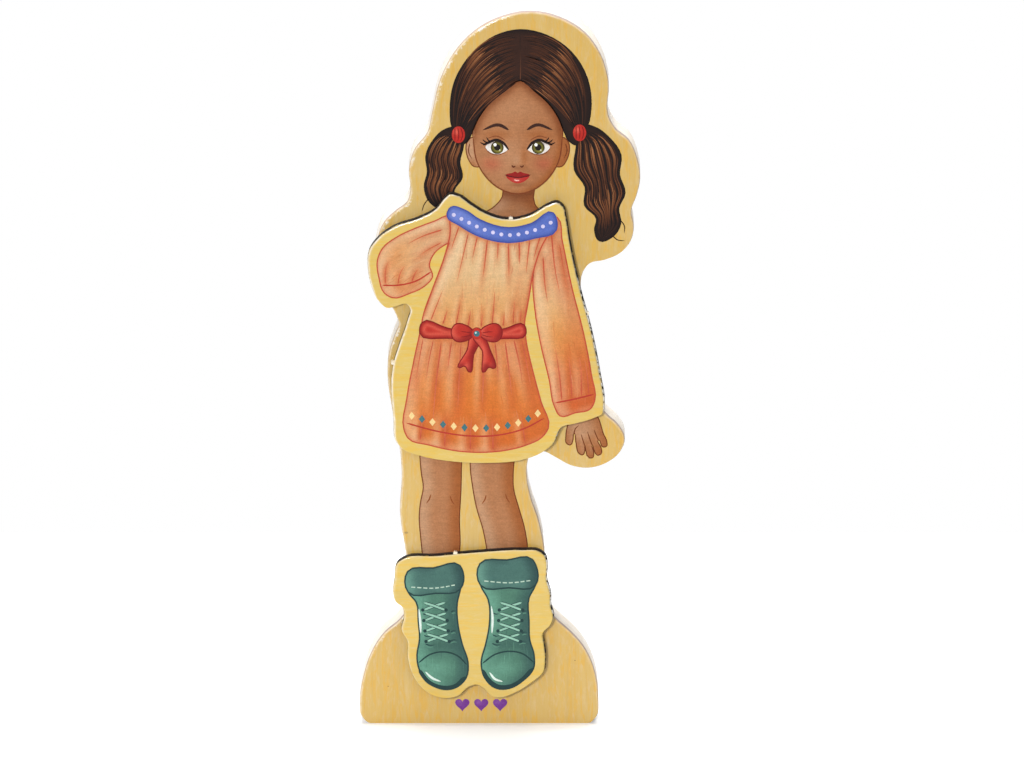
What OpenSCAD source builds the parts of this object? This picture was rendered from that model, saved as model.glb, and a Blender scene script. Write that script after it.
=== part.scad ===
// Free-standing magnetic dress-up doll: a thick printed board with a steel sheet behind its front veneer,
// and a dress and a pair of boots that hold on to it by magnet sheets on their backs.
// Millimetres. +Z is up, the front faces -Y, the origin is the centre of the flat foot.

/* [Board] */
// Height of the half-round foot
foot_h = 34; // [28:1:44]
// Length from the top of the foot to the hem of the dress
leg_h = 61; // [46:1:80]
// Length from the hem to the shoulders
trunk_h = 73; // [60:1:92]
// Height of the neck and the head
head_h = 62; // [52:1:78]
// Width of the foot
foot_w = 76; // [64:1:96]
// Width over the arms
trunk_w = 80; // [68:1:98]
// Width over the loose hair
head_w = 73; // [62:1:90]
// Whole thickness of the board, front to back
board_t = 18; // [12:0.5:30]
// Printed front veneer
veneer_t = 1.6; // [0.8:0.1:2.4]
// Steel sheet between the core and the veneer
steel_t = 1; // [0.5:0.1:1.5]
// How far the steel stays back from the cut edge
steel_inset = 0.1; // [0.05:0.05:0.4]

/* [Garments] */
// Thin wooden face of the dress and the boots
face_t = 2; // [1.2:0.1:3]
// Magnet sheet on the back of the dress and the boots
magnet_t = 2; // [1:0.1:3]
// How far a magnet sheet stays back from the edge of its wooden face
magnet_inset = 0.1; // [0.05:0.05:0.4]
// Width of the small nibs left where a garment was broken out of its sheet
nib_w = 1.3; // [1:0.1:2.5]
// How far a nib stands out from the cut edge
nib_out = 0.7; // [0.2:0.1:1.2]

/* [Print] */
// Thickness of one coat of printing ink
ink_t = 0.1; // [0.05:0.05:0.2]
// Width of an eye
eye_w = 6.4; // [5:0.1:7.5]
// Distance between the middles of the eyes
eye_gap = 13; // [11:0.5:15]
// Width of the mouth
mouth_w = 6.4; // [4.5:0.1:8]
// Width of the hair ties
tie_w = 4.2; // [3:0.1:5.5]
// Width of the knot of the sash
knot_w = 3.2; // [2.6:0.1:4]
// Number of hearts on the foot
heart_n = 3; // [1:1:5]
// Width of a heart
heart_w = 4.6; // [3:0.1:5]
// Distance between the middles of the hearts
heart_gap = 6; // [5.2:0.1:8]

/* [Smoothness] */
// Straight pieces that stand for the curve between two points of an outline
steps = 4; // [3:1:6]

/* [Hidden] */
// Heights and widths that the outlines are drawn at
drawn_foot_h = 34;
drawn_hem = 95;
drawn_shoulder = 168;
drawn_top = 230;
drawn_foot_w = 76;
drawn_trunk_w = 80;
drawn_head_w = 73;
// Where the hand ends below and where the shoulders begin, on the drawn outlines
drawn_hand = 82;
drawn_chest = 150;
// Drawn height to real height, and drawn height to stretch in width
height_map = [[0, 0], [drawn_foot_h, foot_h], [drawn_hem, foot_h + leg_h],
    [drawn_shoulder, foot_h + leg_h + trunk_h], [drawn_top, foot_h + leg_h + trunk_h + head_h]];
width_map = [[0, foot_w / drawn_foot_w], [drawn_foot_h, foot_w / drawn_foot_w],
    [drawn_hand, trunk_w / drawn_trunk_w], [drawn_chest, trunk_w / drawn_trunk_w],
    [drawn_shoulder, head_w / drawn_head_w], [drawn_top, head_w / drawn_head_w]];
// Planes along Y, back to front
back_y = board_t / 2;
front_y = -board_t / 2;
steel_y = front_y + veneer_t + steel_t;
veneer_y = front_y + veneer_t;
coat_y = front_y - ink_t;
// The garments lie on the second coat of ink
seat_y = front_y - 2 * ink_t;
wood_y = seat_y - magnet_t;
garment_y = wood_y - face_t;
// Places of the small prints
mid_x = 12.2;
eye_z = 186.6;
mouth_z = 176.9;
left_tie = [-6.6, 190.4];
right_tie = [31.8, 191];
knot = [-0.8, 127];
heart_x = 0.6;
heart_z = 6.2;
// Heights of the printed ovals against their widths
eye_ratio = 0.86;
mouth_ratio = 0.38;
tie_ratio = 1.3;
knot_ratio = 1.16;

// Outlines, X and Z. Those of the board, the dress and the boots run clockwise, seen from the front
board_line = [[-34.5, 0], [-37.3, 2], [-38, 7], [-37, 14.5], [-34.5, 22.5], [-30, 29.5], [-25.5, 33.3],
    [-22.8, 37], [-22, 45], [-23.3, 55], [-25.2, 69], [-24.6, 79], [-25.1, 88], [-27.5, 101],
    [-29.1, 113], [-28.6, 120], [-26.7, 126], [-25.5, 129.2], [-26.4, 132.2], [-28.5, 136], [-32, 141.5],
    [-33.4, 149.5], [-32.5, 156], [-30.2, 162], [-26.5, 165.7], [-22.7, 168.8], [-21.8, 173],
    [-22.3, 178.5], [-20.5, 185.5], [-16.4, 191], [-15, 197], [-12.4, 208], [-6.8, 218.3], [0.3, 225],
    [8, 228.6], [16.2, 230], [25.6, 228], [33.5, 223.1], [38.4, 216.2], [41, 207], [40.9, 196.5],
    [43, 192.4], [47.3, 188.7], [50.2, 182.2], [51, 176.3], [49.8, 170.5], [48.2, 166], [49, 160.5],
    [48, 156], [45, 152.4], [39.8, 150], [35, 148.8], [32.9, 146], [32.2, 139], [33.2, 129], [35.6, 116],
    [37.6, 105], [40.2, 100.2], [43.8, 96.9], [46.2, 92.2], [44.6, 87.8], [40, 84.2], [34.5, 82.8],
    [28.8, 83.7], [24, 86.3], [20, 88.2], [16.6, 87.6], [15.2, 84], [15.2, 79], [16.4, 73],
    [18.6, 66.5], [20, 60.5], [20.8, 54], [20.4, 45], [21.2, 38.5], [24, 34.2], [28.5, 30.1], [33, 25],
    [36.2, 18.5], [37.8, 8], [37.2, 2], [34.5, 0]];

dress_line = [[-9.4, 172], [-6.4, 171.6], [-2.6, 169], [2, 166.1], [9.4, 164], [16, 165.3], [22.6, 169],
    [24.6, 169.5], [26.8, 168], [27.7, 164.7], [28.8, 157.7], [32.2, 141.6], [35.8, 128], [38.5, 114],
    [39.8, 104], [39.3, 101.2], [36.9, 99.9], [30, 97.8], [26.3, 96.8], [25.2, 95], [24, 92],
    [20, 88.6], [13, 86], [4, 85.2], [-8, 85.6], [-19.5, 87.7], [-24.5, 89.7], [-26.5, 92.2], [-27.2, 99],
    [-27.4, 117], [-25.6, 123], [-22.7, 131.6], [-22, 135.2], [-23, 136.5], [-26, 135.9],
    [-29.4, 135.3], [-31.6, 137], [-34, 141.8], [-35.3, 148], [-34.9, 153.9], [-32, 158], [-26.5, 161.8],
    [-19.5, 164.2], [-13.5, 167.5], [-10.7, 171]];

boots_line = [[-26.1, 52.8], [-23.6, 54.6], [-14.5, 55.2], [0, 56.5], [14.2, 57.2], [19, 56.9],
    [21.2, 55.2], [21.8, 52.5], [21.6, 48], [22.9, 43], [23, 39], [23.8, 36], [22.8, 32.8], [20.4, 30],
    [20.9, 26.8], [21.3, 22.5], [20.6, 17.6], [17, 14.3], [11.6, 10.9], [6.4, 9.2], [3.8, 9.7], [1.2, 12.3],
    [-1, 13.4], [-3.4, 12.6], [-6.2, 10], [-10, 9], [-14.6, 9.8], [-18.9, 12.9], [-21.6, 17.4],
    [-22.9, 22.8], [-22.9, 27.4], [-24.8, 31.4], [-24, 35.2], [-24.3, 38.2], [-26.6, 40.2], [-27.4, 43.5],
    [-26.9, 48]];

face_line = [[12.2, 171.3], [7, 172.7], [2.5, 176.3], [-0.7, 181.7], [-2, 188.3], [-1.4, 196],
    [2.2, 202.5], [12.2, 208], [22.2, 202.5], [25.8, 196], [26.4, 188.3], [25.1, 181.7], [21.9, 176.3],
    [17.4, 172.7]];

neck_line = [[7.4, 177], [7.3, 170.4], [4, 166.6], [-4, 163.8], [-10, 160.5], [-9, 150], [8, 146],
    [22, 150], [25.5, 160.5], [21, 164.4], [17.6, 168], [17, 177]];

bent_arm_line = [[-6, 162.4], [-13, 160], [-22, 153.8], [-29.4, 148.4], [-30.4, 144.6], [-27.4, 140.6],
    [-20, 133.8], [-14, 128.2], [-9.6, 125], [-8, 127.6], [-10.4, 130.6], [-16, 136.6], [-21.4, 143],
    [-21, 145.6], [-15.5, 149.8], [-6, 154]];

hanging_arm_line = [[21, 164], [26, 161], [28.5, 154], [29.6, 145], [30.3, 134], [32.4, 120],
    [35, 107.5], [36.7, 101.4], [38.3, 97.6], [39.4, 93.8], [40.5, 91.2], [40.4, 89.8], [39.3, 89.5],
    [37.8, 91.8], [38.7, 89.2], [38.7, 87.4], [37.6, 86.8], [35.8, 90.2], [36.3, 87.8], [36, 86.1],
    [34.9, 86], [33.5, 90], [33.5, 88.3], [32.8, 87], [31.7, 87.4], [30.8, 90.2], [30, 93.8], [29.7, 91.8],
    [28.9, 90.2], [27.8, 90.6], [27.5, 93.2], [28.3, 97.4], [29.6, 101.4], [28.6, 107.5], [26, 120],
    [23.6, 132], [22.4, 143], [20, 152]];

left_leg_line = [[-17.6, 101], [-18.9, 88], [-18.4, 81], [-17.8, 76.5], [-18.7, 71.5], [-19.1, 67],
    [-18.6, 60], [-17.6, 50], [-16.4, 36], [-17.4, 27], [-20.2, 20.5], [-20.4, 15], [-17, 11.6], [-11.6, 11],
    [-7.4, 12.6], [-6.4, 18], [-7.6, 27], [-8.4, 36], [-7.4, 47], [-6.1, 58], [-6.3, 66], [-5.8, 76],
    [-5.6, 85], [-4, 101]];

right_leg_line = [[-0.6, 101], [-2.2, 91], [-2.9, 84], [-2.1, 76.5], [-0.9, 70], [1.2, 62.7], [2.6, 55],
    [3.6, 47], [4, 36], [3.8, 27], [2.4, 19.5], [3.4, 13.4], [7.4, 11.2], [12.6, 11.6], [17.2, 14.6],
    [18, 19], [15, 23.6], [13.2, 30], [13, 38], [14.6, 47], [15.3, 57], [14.2, 64], [12.5, 70], [10.9, 76],
    [10.8, 82], [11.8, 90], [14, 101]];

underclothes_line = [[-3.8, 163.6], [-0.8, 164.6], [1.2, 158.8], [6, 155.4], [11.5, 155], [16.6, 157],
    [19.2, 162.4], [22.2, 163.2], [22, 156], [20.4, 147], [18.4, 137], [18, 127], [18.8, 116],
    [17.4, 104], [15.6, 96.4], [6, 95.2], [-0.4, 95], [-1.9, 99.4], [-3.4, 95], [-11, 94.8], [-19, 96.4],
    [-17.6, 107], [-12.8, 118], [-8.2, 128], [-5.8, 138], [-5.2, 148], [-5.6, 157]];

left_ear_line = [[-1, 189.6], [-2.6, 189.4], [-4, 187.6], [-4.1, 184.8], [-3.2, 182], [-1.8, 180.2],
    [-0.2, 180], [1.4, 184.6]];

right_ear_line = [[25.4, 189.6], [27, 189.4], [28.4, 187.6], [28.5, 184.8], [27.6, 182], [26.2, 180.2],
    [24.6, 180], [23, 184.6]];

crown_line = [[-6.2, 187], [-8.1, 190.6], [-9.2, 198.5], [-7.6, 208], [-2, 216.8], [5, 222.2],
    [13, 224.2], [21.4, 222.4], [29, 217.2], [34.2, 208.6], [35.4, 199], [33.6, 191], [31, 187],
    [28.6, 188.2], [26.8, 191.6], [25, 196], [22, 200.4], [17.6, 204.4], [13, 207.8], [8, 204.4],
    [3, 200.2], [-0.2, 195.8], [-2.2, 191.4], [-3.8, 188.2]];

left_bunch_line = [[-6, 192.6], [-10.6, 192.2], [-14.6, 188.6], [-16.9, 183.4], [-16.4, 178.4],
    [-17.4, 173.4], [-15.8, 168.8], [-12.6, 166.4], [-9.2, 165.2], [-7.6, 168.6], [-8, 172.4], [-5.4, 176.6],
    [-6.2, 181.6], [-5, 187]];

right_bunch_line = [[31.4, 193.4], [36.2, 193], [41.2, 189.4], [44.9, 183.8], [44.4, 177.6],
    [46.2, 171.6], [44.2, 166.6], [44.8, 161.6], [42.4, 157.6], [38, 156.2], [36.6, 159.6], [37.2, 163.2],
    [33.4, 167.6], [33.6, 173.4], [30.2, 179], [30.8, 186.6]];

gown_line = [[-9, 167.8], [-4.8, 167], [0, 163.9], [9.4, 161.2], [16.6, 162.6], [23.4, 166],
    [24.6, 162.6], [20.2, 156], [17.4, 148], [15.8, 139], [14.4, 130], [15, 124], [17, 115], [19.6, 105],
    [21.9, 96.4], [20, 93.6], [15, 91], [8, 89.2], [0, 88.6], [-8, 89.2], [-16, 91], [-22.6, 93.2],
    [-23.9, 96], [-23, 106], [-20.6, 119], [-18.7, 128], [-17.6, 133.6], [-14.6, 142], [-11, 152],
    [-9, 160.4], [-10.4, 164.6]];

left_sleeve_line = [[-6.6, 164.6], [-9.4, 165.2], [-14, 163.4], [-20.5, 160.9], [-26.4, 158], [-30.6, 154.6],
    [-32.3, 150.6], [-31.8, 145], [-30, 140], [-27.6, 138.6], [-22, 140], [-17, 142.6], [-14.8, 145.4],
    [-15.8, 149.2], [-14, 153.2], [-10.6, 155.8], [-7, 157.4]];

right_sleeve_line = [[22.6, 165.4], [24.8, 164.4], [26.2, 157.6], [29.5, 141.4], [33, 127.5],
    [35.6, 113.6], [36.6, 105.2], [35.4, 102.8], [30.4, 101.4], [25.6, 100.4], [24, 103], [22.2, 112],
    [19.6, 123], [17.6, 135], [17, 145], [18.4, 154]];

collar_line = [[-9, 167.8], [-4.8, 167], [0, 163.9], [9.4, 161.2], [16.6, 162.6], [23.4, 166],
    [24.6, 163.4], [24.4, 160.4], [17.6, 157.8], [9.4, 156.4], [-1, 158.8], [-6.4, 162], [-10.2, 165]];

sash_line = [[-18.9, 127.2], [-18.2, 130.6], [-10, 128.8], [-1, 128.2], [8, 128.6], [14.3, 129.8],
    [14.8, 126.8], [8, 125.4], [-1, 125], [-10, 125.5]];

left_loop_line = [[-1.8, 127], [-4.6, 129.9], [-7.6, 130], [-8.9, 127.3], [-7.6, 124.7], [-4.5, 124.6]];

right_loop_line = [[0.2, 127], [3, 129.9], [6, 130], [7.3, 127.3], [6, 124.7], [2.9, 124.6]];

left_tail_line = [[-2, 126.4], [-3.9, 121.6], [-6.2, 116], [-4.7, 116.5], [-3.3, 114.6], [-1.8, 120.2],
    [0, 126]];

right_tail_line = [[-1.6, 126.4], [1, 121.4], [1.7, 114.6], [3.1, 116.1], [4.5, 115.7], [3.5, 121.6],
    [0.6, 126.4]];

left_boot_line = [[-22.8, 50], [-14.6, 51.2], [-6.2, 52], [-5.2, 50], [-6, 44.4], [-7, 40], [-6.8, 33],
    [-5.4, 26.4], [-3.6, 20.6], [-4.2, 15.6], [-8, 12.2], [-12.2, 12], [-16.4, 14.4], [-19.2, 18.6],
    [-19.8, 23], [-19, 28], [-19.4, 34], [-20, 40], [-22.6, 43.4]];

right_boot_line = [[0.2, 52.6], [8.8, 53.8], [16.8, 54], [18, 52], [17.8, 45.6], [15.8, 41.6],
    [15.8, 34], [16, 28], [17.4, 23], [17.2, 18.6], [14, 14.8], [9.6, 12.2], [5.4, 12.2], [1.6, 15.8],
    [0.6, 20.8], [2, 26.4], [3.2, 33], [2.8, 41], [0.4, 45.6]];

left_cuff_line = [[-22.8, 50], [-14.6, 51.2], [-6.2, 52], [-5.2, 50], [-6, 44.4], [-14, 43],
    [-22.6, 43.4]];

right_cuff_line = [[0.2, 52.6], [8.8, 53.8], [16.8, 54], [18, 52], [17.8, 45.6], [9.4, 44.8],
    [0.4, 45.6]];

// An eyebrow, from the middle of the face outward
brow_line = [[3.2, 192.6], [6.6, 194], [10, 192.4], [6.6, 193.2]];

// Nibs: X, Z and the way they point
dress_nibs = [[-27.4, 117.6, 180], [10, 164, 90], [34.2, 133.4, 15]];
boots_nibs = [[-7.6, 55.9, 95]];

// A drawn point at its real place
function place(p) = [p[0] * lookup(p[1], width_map), lookup(p[1], height_map)];
// Point i of a closed outline
function at(p, i) = p[(i + len(p)) % len(p)];
function unit(v) = v / norm(v);
// Direction of the curve at point i, from the parabola through it and its neighbours
function way(p, i) =
    let (a = at(p, i) - at(p, i - 1), b = at(p, i + 1) - at(p, i), u = norm(a), v = norm(b))
    unit(a * v / u + b * u / v);
// Cubic from a to b that leaves along s and arrives along t
function span(a, b, s, t) =
    let (d = norm(b - a))
    [for (j = [0:steps - 1]) let (f = j / steps, g = 1 - f)
        a * (1 + 2 * f) * g * g + b * (3 - 2 * f) * f * f + s * d * f * g * g - t * d * f * f * g];
function smooth(line) =
    let (p = [for (q = line) place(q)])
    [for (i = [0:len(p) - 1]) each span(at(p, i), at(p, i + 1), way(p, i), way(p, i + 1))];
// The same along the board, whose last and first points are joined by the straight foot
function board_way(p, i) = i == 0 || i == len(p) - 1 ? [-1, 0] : way(p, i);
function board_curve() =
    let (p = [for (q = board_line) place(q)], n = len(p) - 1)
    [for (i = [0:n - 1]) each span(p[i], p[i + 1], board_way(p, i), board_way(p, i + 1)), p[n]];
// An outline moved inward by d
function moved_in(p, d) =
    [for (i = [0:len(p) - 1]) let (w = unit(at(p, i + 1) - at(p, i - 1))) at(p, i) + d * [w[1], -w[0]]];
function oval(c, w, h) =
    [for (a = [0:15:345]) c + [w * cos(a), h * sin(a)] / 2];
function heart(c, w) =
    [for (a = [0:15:345]) c + w / 32 * [16 * pow(sin(a), 3),
        13 * cos(a) - 5 * cos(2 * a) - 2 * cos(3 * a) - cos(4 * a)]];

// Flat shapes drawn on X and Z, each made t thick from plane y forward
module layer(y, t) {
    translate([0, y, 0])
        rotate([90, 0, 0])
            for (i = [0:$children - 1])
                linear_extrude(t)
                    children(i);
}

module nibs(list) {
    for (n = list)
        translate(place(n))
            rotate(n[2])
                translate([-nib_w, -nib_w / 2])
                    square([nib_w + nib_out, nib_w]);
}

module core_board() {
    color([0.95, 0.87, 0.74])
        layer(back_y, board_t - veneer_t - steel_t)
            polygon(board_curve());
}

module steel_sheet() {
    color([0.36, 0.37, 0.41])
        layer(steel_y, steel_t)
            polygon(moved_in(board_curve(), steel_inset));
}

module front_veneer() {
    color([0.88, 0.74, 0.45])
        layer(veneer_y, veneer_t)
            polygon(board_curve());
}

module hair(y, t) {
    layer(y, t) {
        polygon(smooth(crown_line));
        polygon(smooth(left_bunch_line));
        polygon(smooth(right_bunch_line));
    }
}

module skin_print() {
    color([0.71, 0.52, 0.4])
        difference() {
            layer(front_y, ink_t) {
                polygon(smooth(face_line));
                polygon(smooth(left_ear_line));
                polygon(smooth(right_ear_line));
                polygon(smooth(neck_line));
                polygon(smooth(bent_arm_line));
                polygon(smooth(hanging_arm_line));
                polygon(smooth(left_leg_line));
                polygon(smooth(right_leg_line));
                polygon(smooth(underclothes_line));
            }
            hair(front_y + ink_t, 3 * ink_t);
        }
}

module hair_print() {
    color([0.25, 0.16, 0.12])
        hair(front_y, ink_t);
}

module underclothes_print() {
    color([0.78, 0.3, 0.25])
        layer(coat_y, ink_t)
            polygon(smooth(underclothes_line));
}

module face_print() {
    color([0.2, 0.1, 0.08])
        layer(coat_y, ink_t) {
            polygon(oval(place([mid_x, eye_z]) - [eye_gap / 2, 0], eye_w, eye_ratio * eye_w));
            polygon(oval(place([mid_x, eye_z]) + [eye_gap / 2, 0], eye_w, eye_ratio * eye_w));
            polygon(smooth([for (p = brow_line) [mid_x - p[0], p[1]]]));
            polygon(smooth([for (p = brow_line) [mid_x + p[0], p[1]]]));
            polygon(oval(place([mid_x, mouth_z]), mouth_w, mouth_ratio * mouth_w));
        }
}

module hair_tie_print() {
    color([0.75, 0.2, 0.16])
        layer(coat_y, ink_t) {
            polygon(oval(place(left_tie), tie_w, tie_ratio * tie_w));
            polygon(oval(place(right_tie), tie_w, tie_ratio * tie_w));
        }
}

module foot_print() {
    color([0.45, 0.24, 0.55])
        layer(front_y, ink_t)
            for (i = [0:heart_n - 1])
                polygon(heart(place([heart_x, heart_z]) + [(i - (heart_n - 1) / 2) * heart_gap, 0], heart_w));
}

module dress_magnet() {
    color([0.12, 0.12, 0.13])
        layer(seat_y, magnet_t)
            polygon(moved_in(smooth(dress_line), magnet_inset));
}

module dress_face() {
    color([0.91, 0.78, 0.43])
        layer(wood_y, face_t) {
            polygon(smooth(dress_line));
            nibs(dress_nibs);
        }
}

module dress_print() {
    color([0.88, 0.58, 0.33])
        layer(garment_y, ink_t) {
            polygon(smooth(gown_line));
            polygon(smooth(left_sleeve_line));
            polygon(smooth(right_sleeve_line));
        }
}

module collar_print() {
    color([0.35, 0.44, 0.74])
        layer(garment_y - ink_t, ink_t)
            polygon(smooth(collar_line));
}

module sash_print() {
    color([0.75, 0.2, 0.16])
        layer(garment_y - ink_t, ink_t) {
            polygon(smooth(sash_line));
            polygon(smooth(left_loop_line));
            polygon(smooth(right_loop_line));
            polygon(smooth(left_tail_line));
            polygon(smooth(right_tail_line));
            polygon(oval(place(knot), knot_w, knot_ratio * knot_w));
        }
}

module boots_magnet() {
    color([0.12, 0.12, 0.13])
        layer(seat_y, magnet_t)
            polygon(moved_in(smooth(boots_line), magnet_inset));
}

module boots_face() {
    color([0.91, 0.78, 0.43])
        layer(wood_y, face_t) {
            polygon(smooth(boots_line));
            nibs(boots_nibs);
        }
}

module boots_print() {
    color([0.37, 0.55, 0.48])
        layer(garment_y, ink_t) {
            polygon(smooth(left_boot_line));
            polygon(smooth(right_boot_line));
        }
}

module boots_trim_print() {
    color([0.25, 0.35, 0.35])
        layer(garment_y - ink_t, ink_t) {
            polygon(smooth(left_cuff_line));
            polygon(smooth(right_cuff_line));
        }
}

core_board();
steel_sheet();
front_veneer();
skin_print();
hair_print();
underclothes_print();
face_print();
hair_tie_print();
foot_print();
dress_magnet();
dress_face();
dress_print();
collar_print();
sash_print();
boots_magnet();
boots_face();
boots_print();
boots_trim_print();
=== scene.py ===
import math
import random
import bpy
import numpy as np
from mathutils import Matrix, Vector
from mathutils.geometry import delaunay_2d_cdt


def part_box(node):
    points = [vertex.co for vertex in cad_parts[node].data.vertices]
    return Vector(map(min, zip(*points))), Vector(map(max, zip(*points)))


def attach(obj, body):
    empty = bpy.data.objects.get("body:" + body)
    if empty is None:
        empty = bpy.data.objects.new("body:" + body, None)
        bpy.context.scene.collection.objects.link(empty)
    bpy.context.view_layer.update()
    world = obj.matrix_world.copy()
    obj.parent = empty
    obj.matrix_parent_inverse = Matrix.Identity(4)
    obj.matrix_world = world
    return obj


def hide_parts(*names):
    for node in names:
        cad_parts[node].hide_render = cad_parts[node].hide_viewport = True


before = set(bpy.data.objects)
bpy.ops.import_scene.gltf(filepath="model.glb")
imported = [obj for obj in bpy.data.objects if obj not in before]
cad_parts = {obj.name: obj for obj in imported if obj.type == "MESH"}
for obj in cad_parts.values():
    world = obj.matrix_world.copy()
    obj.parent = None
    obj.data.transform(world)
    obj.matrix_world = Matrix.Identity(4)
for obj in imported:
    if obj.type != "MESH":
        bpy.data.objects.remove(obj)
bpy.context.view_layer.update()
mm = 0.001
dice = random.Random(11)
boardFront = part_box("front_veneer")[0][1] / mm
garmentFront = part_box("dress_face")[0][1] / mm
print("frame loaded")


# outlines, X and Z in millimetres
def cadLoops(node):  # outlines of the front face of a CAD node, anticlockwise
    grid, level = 100, 0.002  # places told apart in a millimetre, and how flat the face is
    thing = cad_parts[node]
    mesh = thing.data
    mesh.calc_loop_triangles()
    places = np.array([thing.matrix_world @ v.co for v in mesh.vertices]) / mm
    front = places[:, 1].min()
    keys, table = [], {}
    for x, _, z in places:
        keys.append(table.setdefault((round(x * grid), round(z * grid)), len(table)))
    spots = np.zeros((len(table), 2))
    spots[keys] = places[:, [0, 2]]
    edges = set()
    for t in mesh.loop_triangles:
        if all(abs(places[v, 1] - front) < level for v in t.vertices):
            a, b, c = (keys[v] for v in t.vertices)
            if len({a, b, c}) == 3:
                edges |= {(a, b), (b, c), (c, a)}
    follow = {a: b for a, b in edges if (b, a) not in edges}
    loops = []
    while follow:
        start, at = next(iter(follow.items()))
        chain = [start]
        del follow[start]
        while at != start:
            chain.append(at)
            at = follow.pop(at)
        loops.append(spots[chain])
    return sorted(loops, key=lambda r: (len(r), r[:, 0].mean()), reverse=True)


def unit(rows):  # each row at length 1
    return rows / np.maximum(np.linalg.norm(rows, axis=1, keepdims=True), 1e-6)


def turned(rows):  # a quarter turn to the left
    return np.stack([-rows[..., 1], rows[..., 0]], -1)


def travelled(line):  # distance along a line at each of its points
    return np.concatenate([[0], np.cumsum(np.linalg.norm(np.diff(line, axis=0), axis=1))])


def spaced(line, first, last, count):  # even steps along a line, in from its two ends
    run = travelled(line)
    at = np.linspace(first, run[-1] - last, count)
    return np.stack([np.interp(at, run, line[:, 0]), np.interp(at, run, line[:, 1])], 1)


def directions(points, closed):  # slope of the curve at each point, from its neighbours
    before, after = np.roll(points, 1, 0), np.roll(points, -1, 0)
    if not closed:
        before[0], after[-1] = 2 * points[0] - points[1], 2 * points[-1] - points[-2]
    a, b = points - before, after - points
    u = np.linalg.norm(a, axis=1, keepdims=True)
    v = np.linalg.norm(b, axis=1, keepdims=True)
    return unit(a * v / u + b * u / v)


def curve(points, closed=False, steps=6):  # smooth line through the points
    p = np.array(points, float).reshape(-1, 2)
    t = directions(p, closed)
    out = []
    for i in range(len(p) if closed else len(p) - 1):
        j = (i + 1) % len(p)
        d = np.linalg.norm(p[j] - p[i])
        for f in np.arange(steps) / steps:
            g = 1 - f
            out.append(p[i] * (1 + 2 * f) * g * g + p[j] * (3 - 2 * f) * f * f
                       + t[i] * d * f * g * g - t[j] * d * f * f * g)
    if not closed:
        out.append(p[-1])
    return np.array(out)


def curves(*rows):
    return [curve(r) for r in rows]


def bezier(p, steps=42):
    p, t = np.array(p, float).reshape(-1, 2), np.linspace(0, 1, steps)[:, None]
    return p[0] * (1 - t) ** 3 + 3 * p[1] * t * (1 - t) ** 2 + 3 * p[2] * t * t * (1 - t) + p[3] * t ** 3


def ring(points):  # closed smooth outline, anticlockwise
    p = curve(points, True)
    q = np.roll(p, -1, 0)
    return p if (p[:, 0] * q[:, 1] - q[:, 0] * p[:, 1]).sum() > 0 else p[::-1]


def circle(x, z, r, rz=None, count=20):
    a = np.arange(count) / count * 2 * math.pi
    return np.stack([x + r * np.cos(a), z + (rz or r) * np.sin(a)], 1)


def movedIn(loop, d):  # an anticlockwise outline, moved inward
    sharpest = 0.7  # keeps corners from running far in
    a, b = unit(loop - np.roll(loop, 1, 0)), unit(np.roll(loop, -1, 0) - loop)
    n = unit(turned(a + b))
    lean = np.maximum((n * turned(a)).sum(1, keepdims=True), sharpest)
    return loop + n * d / lean


def inside(points, loops):
    odd = np.zeros(len(points), bool)
    for loop in loops:
        for (x0, z0), (x1, z1) in zip(loop, np.roll(loop, -1, 0)):
            if z0 != z1:
                cross = (points[:, 1] < z0) != (points[:, 1] < z1)
                odd ^= cross & (points[:, 0] < x0 + (points[:, 1] - z0) * (x1 - x0) / (z1 - z0))
    return odd


def beside(points, line, closed=False):  # distance to a line, and how far along it
    batch = 3000  # points at a time
    a = line if closed else line[:-1]
    d = (np.roll(line, -1, 0) if closed else line[1:]) - a
    step = np.linalg.norm(d, axis=1)
    run = np.concatenate([[0], np.cumsum(step)])
    far, along = np.empty(len(points)), np.empty(len(points))
    for i in range(0, len(points), batch):
        p = points[i:i + batch, None, :] - a[None]
        f = np.clip((p * d).sum(2) / np.maximum((d * d).sum(1), 1e-12), 0, 1)
        gap = np.linalg.norm(p - f[..., None] * d, axis=2)
        k = gap.argmin(1)
        rows = np.arange(len(k))
        far[i:i + batch] = gap[rows, k]
        along[i:i + batch] = (run[k] + f[rows, k] * step[k]) / run[-1]
    return far, along


def depth(points, loops):  # distance to the edge, negative outside
    far = np.min([beside(points, loop, True)[0] for loop in loops], axis=0)
    return np.where(inside(points, loops), far, -far)


def triangles(points, loops):  # fills the outlines with triangles through the points
    edges, at = [], 0
    for loop in loops:
        n = len(loop)
        edges += [(at + i, at + (i + 1) % n) for i in range(n)]
        at += n
    verts, _, faces, *_ = delaunay_2d_cdt([Vector(p) for p in points], edges, [], 0, 1e-6)
    verts, faces = np.array(verts), np.array(faces)
    p = verts[faces]
    area = np.cross(p[:, 1] - p[:, 0], p[:, 2] - p[:, 0])
    faces[area < 0] = faces[area < 0][:, ::-1]
    return verts, faces[inside(p.mean(1), loops) & (abs(area) > 1e-7)]


# colours, 0 to 255
def linear(c):
    c = np.clip(np.asarray(c, float) / 255, 0, 1)
    return np.where(c <= 0.04045, c / 12.92, ((c + 0.055) / 1.055) ** 2.4)


def mix(a, b, f):
    a, b = np.asarray(a, float), np.asarray(b, float)
    f = np.clip(np.asarray(f, float), 0, 1)
    return a + (b - a) * (f[..., None] if f.ndim else f)


def ramp(values, stops):  # colours along a row of (place, colour)
    at = [s[0] for s in stops]
    return np.stack([np.interp(values, at, [s[1][k] for s in stops]) for k in range(3)], 1)


def rise(values, low, high):
    t = np.clip((values - low) / (high - low), 0, 1)
    return t * t * (3 - 2 * t)


def soft(distance, wide):  # fades out on both sides of a line
    return np.exp(-(distance / wide) ** 2)


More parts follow.
